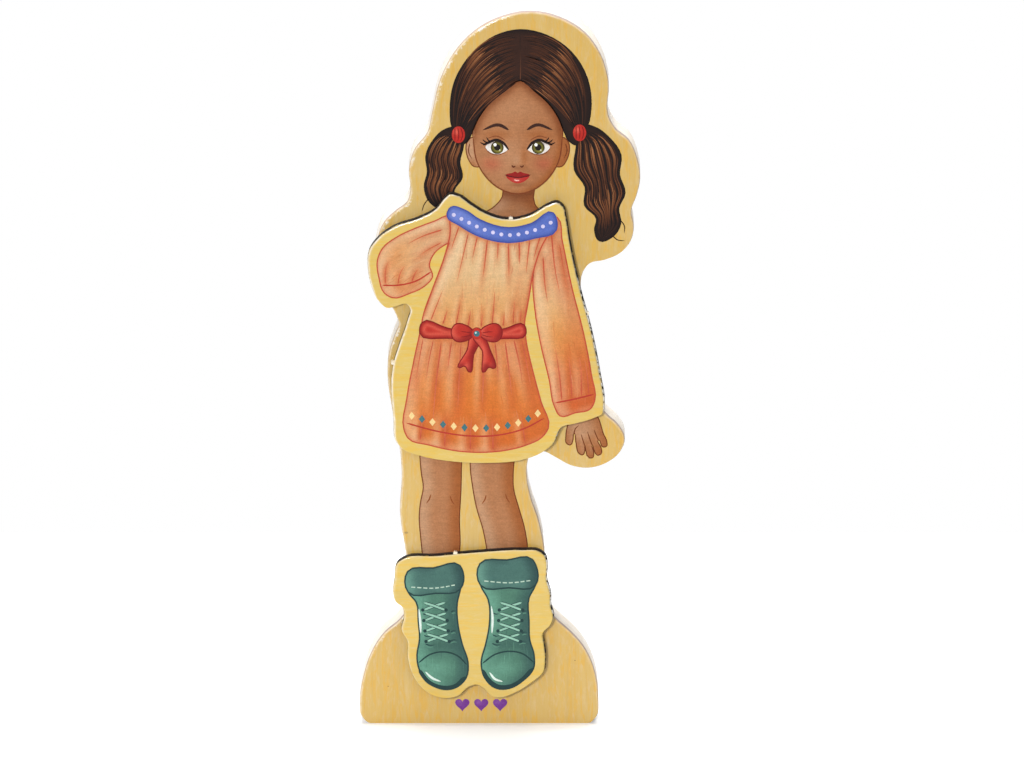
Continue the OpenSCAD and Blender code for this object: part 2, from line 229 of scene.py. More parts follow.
def glow(p, x, z, rx, rz):
    return np.exp(-((p[:, 0] - x) / rx) ** 2 - ((p[:, 1] - z) / rz) ** 2)


def shaded(p, loops, look):  # lit on the left, dark on the right; shift, range and strength of each
    x, z, high, low, strength = look["leftLight"]
    c = mix(look["base"], look["light"], rise(depth(p - [x, z], loops), high, low) * strength)
    x, z, high, low, strength = look["rightShade"]
    return mix(c, look["dark"], rise(depth(p + [x, z], loops), high, low) * strength)


# meshes
def linked(name, data):
    thing = bpy.data.objects.new(name, data)
    bpy.context.scene.collection.objects.link(thing)
    return thing


def newObject(name, verts, faces, smooth, material):
    mesh = bpy.data.meshes.new(name)
    mesh.from_pydata([tuple(c * mm for c in v) for v in verts], [], [tuple(int(i) for i in f) for f in faces])
    mesh.polygons.foreach_set("use_smooth", smooth)
    mesh.set_sharp_from_angle(angle=0.75)
    mesh.materials.append(material)
    return linked(name, mesh)


def place(thing, body, node):
    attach(thing, body)
    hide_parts(node)


def recoat(node, material):  # a CAD node that keeps its shape
    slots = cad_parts[node].data.materials
    slots.clear()
    slots.append(material)


edgeLook = dict(
    rubAndGlint=(0.6, 0.45, (-0.6, 0.8), 0), charAndShade=(0.5, 0.6, (0.6, 0.9), 0.1),  # base, gain, side and least: pale wear, lighter towards the upper left as a painted highlight; burn, darker towards the top and right, with painted shade on the right
    # the last tone is for painted glints on the board and chips on the garments
    topChar=0.8, wallChar=2.2, crisp=0.95, gleam=(0, 1, 0.8, 0), glintAndChip=(255, 252, 244),
    stubLift=0.12, stubTear=0.1,
    stub=[(-0.65, -0.5), (-0.65, 0.3), (-0.45, 0.58), (-0.2, 0.45), (0.1, 0.7), (0.4, 0.5), (0.65, 0.36),
          (0.65, -0.5)],
)


# profile rows, back to front: inset, y, pale wear with a painted highlight, burn with painted shade, burn with
# painted shade on the right
def plate(name, loop, profile, material, gleam, chips=()):
    n = len(loop)
    out = unit(loop - movedIn(loop, 1))
    right, up, down = np.clip(out[:, 0], 0, 1), np.clip(out[:, 1], 0, 1), np.clip(-out[:, 1:], 0, 1)
    # pale edge wear, with a painted highlight added on edges that face the upper left
    rubbedAndLit, charredAndShaded = (np.clip(base + gain * (out @ side), least, 1)
                       for base, gain, side, least in (edgeLook["rubAndGlint"], edgeLook["charAndShade"]))
    # painted glints on edges that face one way; on the garments this mark holds chips
    lit = rise(out @ gleam["way"], *gleam["turn"]) * np.interp(loop[:, 1], gleam["heights"], gleam["shares"])
    rings = [movedIn(loop, row[0] * (1 - edgeLook["crisp"] * down)) for row in profile]  # crisper below
    verts, faces, marks = [], [], {"wearAndGlint": [], "burnAndShade": [], "glint": []}
    for r, (inset, y, wearAndGlint, burnAndShade, burnAndShadeRight) in zip(rings, profile):
        verts += [(x, y, z) for x, z in r]
        # burn on the cut edge, deepened as painted shade on edges that face the right
        charAndShade = np.clip(burnAndShade * charredAndShaded + burnAndShadeRight * right, 0, 1) * (1 + edgeLook["topChar"] * up)
        if not wearAndGlint and burnAndShade >= 1:  # the cut walls are scorched all over
            charAndShade = np.full(n, edgeLook["wallChar"] * burnAndShade)
        marks["wearAndGlint"] += list(wearAndGlint * rubbedAndLit)
        marks["burnAndShade"] += list(charAndShade)
        marks["glint"] += list(lit * np.interp(inset, gleam["insets"], edgeLook["gleam"]))
    for k in range(len(profile) - 1):
        for i in range(n):
            j = (i + 1) % n
            faces.append((k * n + i, k * n + j, (k + 1) * n + j, (k + 1) * n + i))
    walls = len(faces)
    for k, flip in ((0, True), (len(profile) - 1, False)):
        spots, tris = triangles(rings[k], [rings[k]])
        assert len(spots) == n, name + " has an outline that crosses itself"
        faces += [tuple(k * n + i for i in (t[::-1] if flip else t)) for t in tris]
    for x, z, turn in chips:  # torn stubs on the edge
        way = np.array([math.cos(turn), math.sin(turn)])
        stub = [np.array([x, z]) + turned(way) * u + way * v for u, v in edgeLook["stub"]][::-1]
        at, m = len(verts), len(stub)
        for y in (profile[1][1], profile[-1][1] + edgeLook["stubLift"]):
            verts += [(q[0], y + dice.uniform(0, edgeLook["stubTear"]), q[1]) for q in stub]
        for title, value in (("wearAndGlint", 1.0), ("burnAndShade", 0.0), ("glint", 0.0)):
            marks[title] += [value] * 2 * m
        faces += [(at + i, at + (i + 1) % m, at + m + (i + 1) % m, at + m + i) for i in range(m)]
        faces += [tuple(at + m + i for i in range(m)), tuple(at + i for i in range(m))[::-1]]
    thing = newObject(name, verts, faces, [i < walls for i in range(len(faces))], material)
    for title, values in marks.items():
        mark = thing.data.attributes.new(title, "FLOAT", "POINT")
        mark.data.foreach_set("value", values)
    return thing


# prints; top is the height over the wood
def newInk(front):
    return {"front": front, "verts": [], "faces": [], "colours": [], "brushed": np.full((1, 2), 1e3)}


def addSolid(ink, verts, faces, colours):
    at = len(ink["verts"])
    ink["verts"] += verts
    ink["faces"] += [[i + at for i in f] for f in faces]
    ink["colours"] += list(colours)


def addFill(ink, loops, top, colourOf, step=0.6, thick=0.035):  # a printed area
    pitch, clear = step * 0.866, 0.45 * step  # between rows of points, and to the edge
    loops = [np.asarray(r, float) for r in loops]
    rim = np.vstack(loops)
    lo, hi = rim.min(0), rim.max(0)
    spots = []
    for k, z in enumerate(np.arange(lo[1], hi[1], pitch)):
        across = np.arange(lo[0] + (k % 2) * step / 2, hi[0], step)
        spots.append(np.stack([across, np.full(len(across), z)], 1))
    spots = np.vstack(spots)
    spots = spots[depth(spots, loops) > clear]
    verts, faces = triangles(np.vstack([rim, spots]), loops)
    colours = np.broadcast_to(np.asarray(colourOf(verts), float), (len(verts), 3))
    front = ink["front"] - top
    solid = [(x, front, z) for x, z in verts]
    seen = {(a, b) for f in faces for a, b in zip(f, np.roll(f, -1))}
    border = [(a, b) for a, b in seen if (b, a) not in seen]
    under = {}
    for a, _ in border:
        under[a] = len(solid)
        solid.append((verts[a][0], front + thick, verts[a][1]))
    _, back = triangles(rim, loops)
    back = [tuple(under[i] for i in t[::-1]) for t in back if all(i in under for i in t)]
    walls = [(b, a, under[a], under[b]) for a, b in border]
    keep = np.vstack([colours, [colours[a] for a, _ in border]])
    addSolid(ink, solid, list(faces) + walls + back, keep)


def addStroke(ink, path, width, top, colour, last=None, ends=(0.3, 0.5), thick=0.02):  # a tapered brush line
    p = np.asarray(path, float)
    n = turned(directions(p, False))
    u = travelled(p)
    u /= u[-1]
    w = np.ones(len(u))
    for share, f in zip(ends, (u, 1 - u)):
        if share:
            w *= np.sqrt(np.clip(1 - (1 - np.clip(f / share, 0, 1)) ** 2, 0.006, 1))
    w = (w * width / 2)[:, None]
    front = ink["front"] - top
    sides = p + n * w, p - n * w
    verts = [(x, y, z) for y in (front, front + thick) for side in sides for x, z in side]
    m = len(p)
    faces = []
    for i in range(m - 1):
        j = i + 1
        faces += [(i, m + i, m + j, j), (2 * m + i, 2 * m + j, 3 * m + j, 3 * m + i),
                  (i, j, 2 * m + j, 2 * m + i), (m + i, 3 * m + i, 3 * m + j, m + j)]
    faces += [(0, 2 * m, 3 * m, m), (m - 1, 2 * m - 1, 4 * m - 1, 3 * m - 1)]
    row = mix(np.array([colour], float), np.array([colour if last is None else last], float), u)
    addSolid(ink, verts, faces, np.vstack([row] * 4))


def addLines(ink, lines):  # width, height, colour, tapered ends, then the points of each line
    for width, top, colour, ends, *rows in lines:
        for line in curves(*rows):
            addStroke(ink, line, width, top, colour, ends=ends)


def addOutline(ink, loops, width, top, colour):
    for loop in loops:
        addStroke(ink, np.vstack([loop, loop[:1]]), width, top, colour, ends=(0, 0))


def newPrint(front, loops, look, colourOf=None, step=0.6):  # an area with its outline
    ink = newInk(front)
    addFill(ink, loops, look["top"], colourOf or (lambda p: shaded(p, loops, look)), step)
    addOutline(ink, loops, *look["outline"])
    return ink


def addDot(ink, x, z, r, top, colour, rz=None):
    addFill(ink, [circle(x, z, r, rz)], top, lambda p: colour, step=5, thick=0.03)


def addBrush(ink, loops, count, box, apex, tones, top):  # fine brush marks that fan out from a point
    clear, apart = 0.6, 0.55  # to the edge, and to each other
    under = np.array(ink["verts"])[:, [0, 2]]
    tints = np.array(ink["colours"])
    for _ in range(count):
        spot = np.array([dice.uniform(box[0], box[2]), dice.uniform(box[1], box[3])])
        way = (spot - apex) / np.hypot(*(spot - apex))
        side = turned(way) * dice.uniform(-0.5, 0.5)
        long = dice.uniform(1.5, 4.5)
        shade, strength, wide = dice.choice(tones), dice.uniform(0.12, 0.36), dice.uniform(0.18, 0.4)
        path = curve([spot - way * long, spot + side, spot + way * long])
        if (depth(path, loops).min() > clear
                and min(np.hypot(*(ink["brushed"] - q).T).min() for q in path) > apart):
            ink["brushed"] = np.vstack([ink["brushed"], path])
            tint = tints[np.hypot(*(under - spot).T).argmin()]
            addStroke(ink, path, wide, top, mix(tint, shade, strength), tint, ends=(0.5, 0.7))


def makeInk(name, ink, material, body, node):
    thing = newObject(name, ink["verts"], ink["faces"], [False] * len(ink["faces"]), material)
    layer = thing.data.color_attributes.new("ink", "FLOAT_COLOR", "POINT")
    c = linear(np.array(ink["colours"]))
    layer.data.foreach_set("color", np.hstack([c, np.ones((len(c), 1))]).astype(np.float32).ravel())
    place(thing, body, node)
    print(name, len(ink["verts"]), "points")


# materials
def feed(node, values):  # fixed values, or what comes out of other nodes
    for name, v in values.items():
        if isinstance(v, bpy.types.NodeSocket):
            node.id_data.links.new(v, node.inputs[name])
        else:
            node.inputs[name].default_value = v


def newNode(tree, kind, values, output=0, **settings):
    node = tree.nodes.new("ShaderNode" + kind)
    for name, v in settings.items():
        setattr(node, name, v)
    feed(node, values)
    return node.outputs[output]


def newMaterial(name):
    material = bpy.data.materials.new(name)
    material.use_nodes = True
    tree = material.node_tree
    return material, tree, tree.nodes["Principled BSDF"]


def noise(tree, scale, detail, roughness, distortion, seed):  # scale: waves per millimetre along x, y, z
    where = newNode(tree, "TexCoord", {}, "Object")
    moved = newNode(tree, "Mapping", {"Vector": where, "Scale": [s / mm for s in scale],
                                      "Location": (seed, seed * 1.7, seed * 0.6)})
    return newNode(tree, "TexNoise", {"Vector": moved, "Scale": 1.0, "Detail": detail, "Roughness": roughness,
                                      "Distortion": distortion}, "Fac")


def spread(value, low, high, a, b):
    limits = {"From Min": low, "From Max": high, "To Min": a, "To Max": b}
    return newNode(value.id_data, "MapRange", {"Value": value, **limits})


def combined(kind, a, b):
    return newNode(a.id_data, "Math", {0: a, 1: b}, operation=kind)


def attribute(tree, title, output="Fac"):
    return newNode(tree, "Attribute", {}, output, attribute_name=title)


def blend(factor, a, b):
    a, b = (v if isinstance(v, bpy.types.NodeSocket) else (*linear(v), 1) for v in (a, b))
    return newNode(factor.id_data, "Mix", {0: factor, 6: a, 7: b}, 2, data_type="RGBA")  # its colour sockets


def bump(height, strength, distance):
    return newNode(height.id_data, "Bump", {"Strength": strength, "Distance": distance * mm, "Height": height})


def stretched(along, across, grain):  # noise scale with the grain along z or x
    return (across, across, along) if grain == "z" else (along, across, across)


def wood(name, look):
    material, tree, shader = newMaterial(name)
    layers = (  # noise along and across the grain, detail, roughness, distortion, seed; range, strength, colour
        (0.006, 0.22, 4, 0.6, 0.3, 0, 0.33, 0.68, 1, look["light"]),
        (0.02, 0.05, 2, 0.5, 0, 7, 0.35, 0.7, look["patch"], look["warm"]),
        (0.3, 0.9, 3, 0.6, 0.3, 23, 0.5, 0.72, look["speck"], look["pale"]),
        (0.11, 0.7, 4, 0.62, 0.9, 17, 0.49, 0.62, look["flecks"], look["fleck"]),
        (0.05, 2.6, 3, 0.6, 0, 3, 0.52, 0.75, look["fibre"], look["line"]),
    )
    colour = look["dark"]
    for along, across, detail, roughness, distortion, seed, low, high, strength, tone in layers:
        scale = stretched(along, across, look["grain"])
        fibre = noise(tree, scale, detail, roughness, distortion, look["seed"] + seed)  # the last one is kept
        colour = blend(spread(fibre, low, high, 0, strength), colour, tone)
    rag = noise(tree, (0.5, 0.5, 0.5), 3, 0.6, 0, look["seed"] + 11)
    cut = attribute(tree, "burnAndShade")
    edges = [
        # pale wear on the edge, partly a painted highlight
        (attribute(tree, "wearAndGlint"), spread(rag, 0.35, 0.6, look["wearAndGlint"] * 0.35, look["wearAndGlint"]), look["rawAndGlint"]),
        # dark burn on the edge, partly painted shade on the right
        (cut, spread(rag, 0.36, 0.54, look["sootAndShade"], 1), look["burntAndShade"]),
    ]
    if look["glint"]:  # painted glints on the board's edge, pale chips on the garments' edge
        fine = noise(tree, (0.8, 0.8, 0.8), 3, 0.65, 0, look["seed"] + 29)
        spark = spread(fine, look["spark"], look["spark"] + 0.1, 0, look["glint"])
        edges.append((attribute(tree, "glint"), spark, edgeLook["glintAndChip"]))
    for mark, share, tone in edges:
        colour = blend(combined("MULTIPLY", mark, share), colour, tone)
    sheen = spread(fibre, 0.3, 0.7, look["rough"] - 0.06, look["rough"] + 0.08)
    feed(shader, {  # the cut edge has no varnish
        "Base Color": colour, "Roughness": combined("ADD", sheen, spread(cut, 0, 1, 0, 0.5)),
        "Coat Weight": spread(cut, 0, 0.8, look["coat"], 0), "Coat Roughness": 0.1,
        "Specular IOR Level": 0.2, "Normal": bump(fibre, look["bump"], 0.05)})
    return material


def printed(name, look):  # ink under varnish, with the grain showing through
    material, tree, shader = newMaterial(name)
    fibre = noise(tree, stretched(0.22, 1.5, look["grain"]), 3, 0.6, 0.2, 5)
    cloud = noise(tree, (0.5, 0.5, 0.5), 4, 0.65, 0.4, 9)
    grit = noise(tree, (2.4, 2.4, 2.4), 2, 0.6, 0, 13)  # the dots of the print
    shade = combined("MULTIPLY", spread(cloud, 0.3, 0.7, 1 - look["cloud"], 1 + look["cloud"]),
                     spread(fibre, 0.4, 0.75, 1 - look["grainShow"] / 3, 1 + look["grainShow"]))
    shade = combined("MULTIPLY", shade, spread(grit, 0.3, 0.7, 1 - look["grit"], 1 + look["grit"]))
    ink = attribute(tree, "ink", "Color")
    feed(shader, {
        "Base Color": newNode(tree, "VectorMath", {0: ink, "Scale": shade}, operation="SCALE"),
        "Roughness": spread(fibre, 0.3, 0.7, look["rough"] - 0.05, look["rough"] + 0.08),
        "Coat Weight": look["coat"], "Coat Roughness": 0.14, "Specular IOR Level": 0.08,
        "Normal": bump(fibre, 0.12, 0.03)})
    return material


def sheet(name, look):  # a dull sheet with a few stains
    material, tree, shader = newMaterial(name)
    lay = noise(tree, look["scale"], look["detail"], look["blur"], 0, look["seed"])
    feed(shader, {
        "Base Color": blend(spread(lay, *look["stains"]), look["base"], look["stain"]),
        "Roughness": spread(lay, 0.3, 0.7, look["rough"] - 0.1, look["rough"] + 0.15),
        "Metallic": look["metal"], "Normal": bump(lay, *look["bump"])})
    return material


# the board
coreLook = dict(
    grain="z", seed=2.0, dark=(246, 235, 218), light=(254, 249, 240), warm=(250, 237, 220),
    patch=0.4, fleck=(240, 222, 198), flecks=0.5, pale=(254, 250, 242), speck=0.5,
    line=(228, 204, 170), fibre=0.3, rawAndGlint=(255, 251, 243), wearAndGlint=0.3, burntAndShade=(120, 96, 80),
    sootAndShade=0.75, glint=0, rough=0.5, coat=0.1, bump=0.3,
)
veneerLook = dict(
    grain="z", seed=5.0, dark=(213, 174, 92), light=(218, 184, 108), warm=(222, 180, 82),
    patch=0.4, fleck=(225, 174, 60), flecks=0.68, pale=(220, 190, 132), speck=0.6,
    line=(198, 154, 80), fibre=0.3, rawAndGlint=(252, 242, 222), wearAndGlint=0.7, burntAndShade=(186, 164, 156),
    sootAndShade=0.75, glint=0.9, spark=0.5, rough=0.34, coat=0.7, bump=0.16,
)
boardGleam = dict(  # painted glints on the upper left, none low on the foot
    way=(-0.72, 0.7), turn=(0.76, 0.96), heights=(22, 34), shares=(0, 1),
    insets=(0.18, 0.36, 0.9, 1.3),
)
boardLoop = cadLoops("front_veneer")[0]
coreBack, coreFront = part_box("core_board")[1][1] / mm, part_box("core_board")[0][1] / mm
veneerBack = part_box("front_veneer")[1][1] / mm
coreRows = [
    (1.1, coreBack, 0, 0, 0), (0.5, coreBack - 0.12, 0.6, 0, 0), (0.12, coreBack - 0.5, 0.6, 0, 0),
    (0, coreBack - 1.1, 0, 0, 0), (0, coreFront + 0.4, 0, 0, 0), (0.1, coreFront, 0, 0.3, 0),
]
# the front bevel rows carry pale wear with a painted highlight on the upper left
veneerRows = [
    (0.06, veneerBack, 0, 1, 0), (0, veneerBack - 0.15, 0, 1, 0), (0, boardFront + 0.6, 0, 1, 0),
    (0.06, boardFront + 0.36, 0.2, 0.7, 0), (0.18, boardFront + 0.18, 0.7, 0.25, 0),
    (0.36, boardFront + 0.06, 0.9, 0, 0), (0.62, boardFront, 0.3, 0, 0), (0.9, boardFront, 0, 0, 0),
    (1.3, boardFront, 0, 0, 0),
]
core = plate("coreBoard", boardLoop, coreRows, wood("coreWood", coreLook), boardGleam)
place(core, "doll", "core_board")
veneer = plate("frontVeneer", boardLoop, veneerRows, wood("veneerWood", veneerLook), boardGleam)
place(veneer, "doll", "front_veneer")
steelLook = dict(
    base=(153, 148, 153), stain=(118, 110, 112), stains=(0.4, 0.75, 0, 0.8), rough=0.5, metal=0.8,
    scale=(0.5, 3, 0.5), detail=3, blur=0.6, seed=1, bump=(0.2, 0.03),
)
recoat("steel_sheet", sheet("steelSheet", steelLook))
print("board made")


# printed figure
figureLook = dict(grain="x", grainShow=0.1, cloud=0.07, grit=0.1, rough=0.4, coat=0.07)
figureInk = printed("figureInk", figureLook)
jaw = [-0.7, 181.7, 2.5, 176.3, 7, 172.7, 12.2, 171.3, 17.4, 172.7, 21.9, 176.3, 25.1, 181.7]
skinLook = dict(
    base=(180, 123, 83), light=(196, 151, 116), dark=(158, 88, 42), deep=(118, 62, 32),
    blush=(188, 88, 64), side=(168, 108, 68), lit=(192, 140, 102), top=0.035,
    leftLight=(2.4, 0, 3.0, -1.5, 0.9), rightShade=(2.2, -0.6, 3.4, -1.6, 0.85),
    outline=(0.34, 0.05, (110, 54, 26)),
    lines=[  # jaw, knees, fingers and ears
        (0.42, 0.055, (122, 62, 32), (0.1, 0.1), [-2, 190, *jaw, 26.4, 190]),
        (0.4, 0.055, (140, 74, 36), (0.4, 0.6),
         [-15.4, 74.2, -15.9, 72.6, -16.8, 71.3], [-9.3, 73.8, -8.8, 72.2, -7.9, 70.9],
         [2.2, 74, 1.7, 72.4, 0.8, 71.1], [8.3, 74.4, 8.8, 72.8, 9.7, 71.5]),
        (0.34, 0.055, (110, 54, 26), (0.1, 0.7),
         [37.8, 91.7, 37, 93.6, 36.4, 95.2], [35.8, 90.1, 35, 92.4, 34.3, 94.6],
         [33.5, 89.9, 32.8, 92, 32.3, 93.8], [30, 93.7, 30.5, 95.4, 31.6, 96.6],
         [-3, 187.6, -3.4, 185, -2.4, 182.6], [27.4, 187.6, 27.8, 185, 26.8, 182.6]),
    ],
    glows=dict(  # on the face: strength, place and size
        lit=[(0.75, 9, 184, 5, 7), (0.5, 11.4, 199, 8, 4), (0.4, 12, 173.6, 3, 1.4),
             (0.7, 11.8, 182.2, 0.9, 1.3)],
        blush=[(0.5, 4.0, 181, 3.0, 2.2), (0.5, 20.6, 181, 3.0, 2.2)],
        dark=[(0.55, 5.7, 190.2, 4.2, 1.7), (0.55, 18.7, 190.2, 4.2, 1.7), (0.45, 14.3, 183.4, 1.0, 3.4)],
        deep=[(0.5, 12.2, 174.2, 2.6, 0.6), (0.35, 12.4, 179.6, 2.2, 0.8)],
    ),
)
faceRing = ring(jaw + [26.4, 188.3, 25.8, 196, 22.2, 202.5, 12.2, 208, 2.2, 202.5, -1.4, 196, -2, 188.3])
hairLoops = cadLoops("hair_print")
skinLoops = cadLoops("skin_print")


def skinColour(p):
    inner = depth(p, [faceRing])
    inFace = rise(inner, -0.2, 0.4)
    f = mix(skinLook["base"], skinLook["side"], rise(p[:, 0], 4, 24) * 0.6)
    for tone, spots in skinLook["glows"].items():
        f = mix(f, skinLook[tone], sum(strength * glow(p, *spot) for strength, *spot in spots))
    f = mix(f, skinLook["dark"], 0.9 * soft(inner, 1.7) * rise(p[:, 0], 2, 22))
    f = mix(f, skinLook["deep"], 0.75 * soft(np.maximum(-depth(p, hairLoops), 0), 1.9))
    c = shaded(p, skinLoops, skinLook)
    c = mix(c, skinLook["light"], 0.6 * glow(p, 33.4, 95.4, 5.4, 5.4))  # the hand
    chin = soft(np.maximum(-inner, 0), 3.2) * (p[:, 1] < 178) * (1 - inFace)
    return mix(mix(c, f, inFace), skinLook["deep"], 0.85 * chin)


skin = newPrint(boardFront, skinLoops, skinLook, skinColour)
addLines(skin, skinLook["lines"])
makeInk("skinInk", skin, figureInk, "doll", "skin_print")

# the face
face = newInk(boardFront)
faceLook = dict(
    mid=12.2, gap=6.5, eyeZ=186.2, white=(240, 234, 228), whiteShade=(186, 172, 168),
    iris=(112, 108, 42), irisRim=(62, 50, 26), irisGlow=(160, 150, 70), lip=(184, 50, 44),
    lipGlow=(214, 104, 92), upperLip=(150, 34, 32),
    almond=[-3.3, -0.5, -1.6, 1.5, 0.4, 2.3, 2.4, 1.5, 3.7, 0.3, 2.2, -1.5, 0, -2.1, -1.9, -1.6],
    dots=[(0, 0.1, 1.02, 0.09, (26, 18, 16)), (-0.72, 0.95, 0.52, 0.112, (252, 250, 248)),
          (0.8, -0.8, 0.24, 0.112, (226, 220, 190))],
    eyeLines=[  # upper lid, lashes, lower lid, fold, brow and nostril, from the middle of the eye
        (0.85, 0.102, (34, 20, 18), (0.35, 0.25), [-3.7, -0.8, -1.7, 1.7, 0.4, 2.5, 2.6, 1.7, 4.5, 0.8]),
        (0.42, 0.102, (34, 20, 18), (0, 0.8), [2.2, 2, 2.95, 2.58, 3.4, 3.4], [3.1, 1.6, 4, 2.03, 4.6, 2.7],
         [3.8, 1.1, 4.75, 1.33, 5.4, 1.8]),
        (0.26, 0.094, (128, 68, 40), (0.3, 0.5), [-2.8, -1.5, 0, -2.3, 2.5, -1.6, 3.9, 0.1]),
        (0.3, 0.06, (128, 68, 40), (0.3, 0.5), [-2.6, 2.4, 0.2, 3.7, 3.2, 3]),
        (1.05, 0.06, (58, 34, 26), (0.35, 0.7), [-3.7, 5.7, -0.6, 7.3, 4.6, 5.7]),
        (0.5, 0.06, (98, 48, 28), (0.4, 0.6), [-5.8, -5.9, -5.1, -6.2, -4.6, -5.6]),
    ],
    mouthLines=[
        (0.34, 0.092, (88, 22, 22), (0.2, 0.2), [8, 177.5, 10.4, 176.8, 12.2, 176.55, 14, 176.8, 16.4, 177.5]),
        (0.36, 0.092, (246, 196, 184), (0.3, 0.5), [11.1, 175.9, 11.8, 175.6, 12.7, 175.7]),
    ],
)


def addEye(s):  # -1 on the left, 1 on the right
    cx, cz = faceLook["mid"] + s * faceLook["gap"], faceLook["eyeZ"]

    def moved(row):
        return np.reshape(row, (-1, 2)) * (s, 1) + (cx, cz)

    def whiteColour(p):
        return mix(faceLook["white"], faceLook["whiteShade"], rise(p[:, 1], cz + 0.4, cz + 2.0))

    def irisColour(p):
        rim = rise(np.hypot(p[:, 0] - cx, p[:, 1] - cz), 1.2, 2.0)
        c = mix(faceLook["iris"], faceLook["irisRim"], rim)
        return mix(c, faceLook["irisGlow"], 0.7 * glow(p, cx + 0.6, cz - 0.9, 0.9, 0.7))

    addFill(face, [ring(moved(faceLook["almond"]))], 0.065, whiteColour, 0.5)
    addFill(face, [circle(cx, cz + 0.05, 2.05, 2.1)], 0.078, irisColour, 0.35)
    for x, z, r, top, tone in faceLook["dots"]:
        addDot(face, cx + x, cz + z, r, top, tone)
    addLines(face, [(*line[:4], *map(moved, line[4:])) for line in faceLook["eyeLines"]])


def lipColour(p):
    return mix(faceLook["lip"], faceLook["lipGlow"], 0.8 * glow(p, 11.8, 175.8, 1.4, 0.5))


addEye(-1)
addEye(1)
upperLip = ring([8.4, 177.2, 10.5, 178.1, 11.5, 178.5, 12.2, 178.1, 12.9, 178.5, 13.9, 178.1, 16, 177.2,
                 14, 176.7, 12.2, 176.5, 10.4, 176.7])
lowerLip = ring([8.7, 177.1, 10.4, 176.8, 12.2, 176.6, 14, 176.8, 15.7, 177.1, 14.5, 175.5, 12.2, 174.7,
                 9.9, 175.5])
addFill(face, [lowerLip], 0.065, lipColour, 0.4)
addFill(face, [upperLip], 0.078, lambda p: faceLook["upperLip"], 0.5)
addLines(face, faceLook["mouthLines"])
makeInk("faceInk", face, figureInk, "doll", "face_print")

# hair
hair = newInk(boardFront)
hairLook = dict(
    base=(40, 22, 16), dark=(20, 11, 10), mid=(74, 40, 24), light=(128, 75, 42),
    shine=(184, 124, 78), crown=(52, 29, 21), parting=(104, 62, 40), top=0.036, roots=34,
    strands=dict(  # start, width, height and share of the length
        dark=(0.0, 0.46, 0.058, 0.75), mid=(0.08, 0.4, 0.07, 0.6), light=(0.16, 0.3, 0.082, 0.4)),
    order=["dark", "mid", "dark", "dark", "mid", "dark", "light"], outline=(0.4, 0.05, (20, 11, 10)),
    looseHairs=[(0.36, 0.05, (40, 22, 16), (0.1, 0.9), [-15.8, 170, -17.4, 168, -18.2, 165.6],
                 [44.6, 163, 46, 161, 46, 158.6], [42, 158, 44, 156.4, 46.2, 156.2])],
)


def hairColour(p):
    c = mix(hairLook["crown"], hairLook["base"], rise(np.abs(p[:, 0] - 13), 8, 18))
    return mix(c, hairLook["dark"], 0.75 * soft(depth(p, hairLoops), 1.3))


def strand(path, tone):
    first, width, top, long = hairLook["strands"][tone]
    n = len(path) - 1
    a = int((first + dice.uniform(0, 0.25)) * n)
    part = path[a:a + int(long * dice.uniform(0.7, 1.25) * n) + 1]
    addStroke(hair, part, width * dice.uniform(0.75, 1.3), top + dice.uniform(-0.005, 0.005),
              mix(hairLook[tone], hairLook["base"], dice.uniform(0, 0.35)), ends=(0.5, 0.6))


def lock(inner, outer, f, share, order, bands):  # one tress: a soft body, a dark furrow and lit streaks
    n = len(inner) - 1
    wide = np.linalg.norm(outer - inner, axis=1).mean() * share
    body = inner + (outer - inner) * f
    addStroke(hair, body[int(0.08 * n):], wide * 0.8, 0.04 + 0.0008 * order, hairLook["mid"], hairLook["base"],
              (0.6, 0.7))
    furrow = inner + (outer - inner) * (f - share / 2)
    addStroke(hair, furrow[int(0.05 * n):], 0.4, 0.052, hairLook["dark"], ends=(0.4, 0.5))
    for at in bands:
        for _ in range(4):
            path = inner + (outer - inner) * (f + share * dice.uniform(-0.35, 0.35))
            low, high = int((at - dice.uniform(0.06, 0.2)) * n), int((at + dice.uniform(0.06, 0.2)) * n)
            addStroke(hair, path[low:high + 2], dice.uniform(0.18, 0.42), dice.uniform(0.09, 0.11),
                      mix(hairLook["light"], hairLook["shine"], dice.random() ** 2), hairLook["mid"], (0.6, 0.7))


addFill(hair, hairLoops, hairLook["top"], hairColour)
halves = [  # hairline and outer edge, parting to tie
    ([12.6, 207.6, 6, 203.4, -0.5, 198, -5.4, 190.6], [12.4, 223.2, -3, 223.4, -10.2, 208, -7.8, 191.4]),
    ([13.4, 207.6, 20, 203.6, 26.6, 198, 30.8, 191], [13.8, 223.2, 29.4, 223.6, 36.4, 208, 33, 191.8]),
]
bunches = [  # inner and outer edge, tie to tip
    ([-5.8, 189.8, -5.5, 186.6, -6.8, 181.6, -6, 176.6, -8.4, 172.4, -8.2, 168.8, -9.6, 166],
     [-8, 191.6, -14, 188.4, -16.3, 183.4, -15.8, 178.4, -16.8, 173.4, -15.2, 169, -10.4, 166]),
    ([31.6, 191, 31.2, 186.4, 30.8, 179.2, 34.2, 173.2, 34, 167.8, 37.8, 163.2, 37.2, 159.6, 38.6, 157],
     [33.2, 192.4, 40.8, 189, 44.3, 183.6, 43.8, 177.6, 45.6, 171.6, 43.6, 166.6, 44.2, 161.8, 40, 157.2]),
]
sections = [(bezier(inner), bezier(outer), 9, 70, (0.42,)) for inner, outer in halves]
sections += [(curve(inner), curve(outer), 6, 36, (0.28, 0.66)) for inner, outer in bunches]
for inner, outer, locks, strands, bands in sections:
    for i in range(strands):
        tone = hairLook["order"][i % len(hairLook["order"])]
        strand(inner + (outer - inner) * (i + dice.random()) / strands, tone)
    for k in range(locks):
        lock(inner, outer, (k + 0.5) / locks, 1 / locks, k, bands)
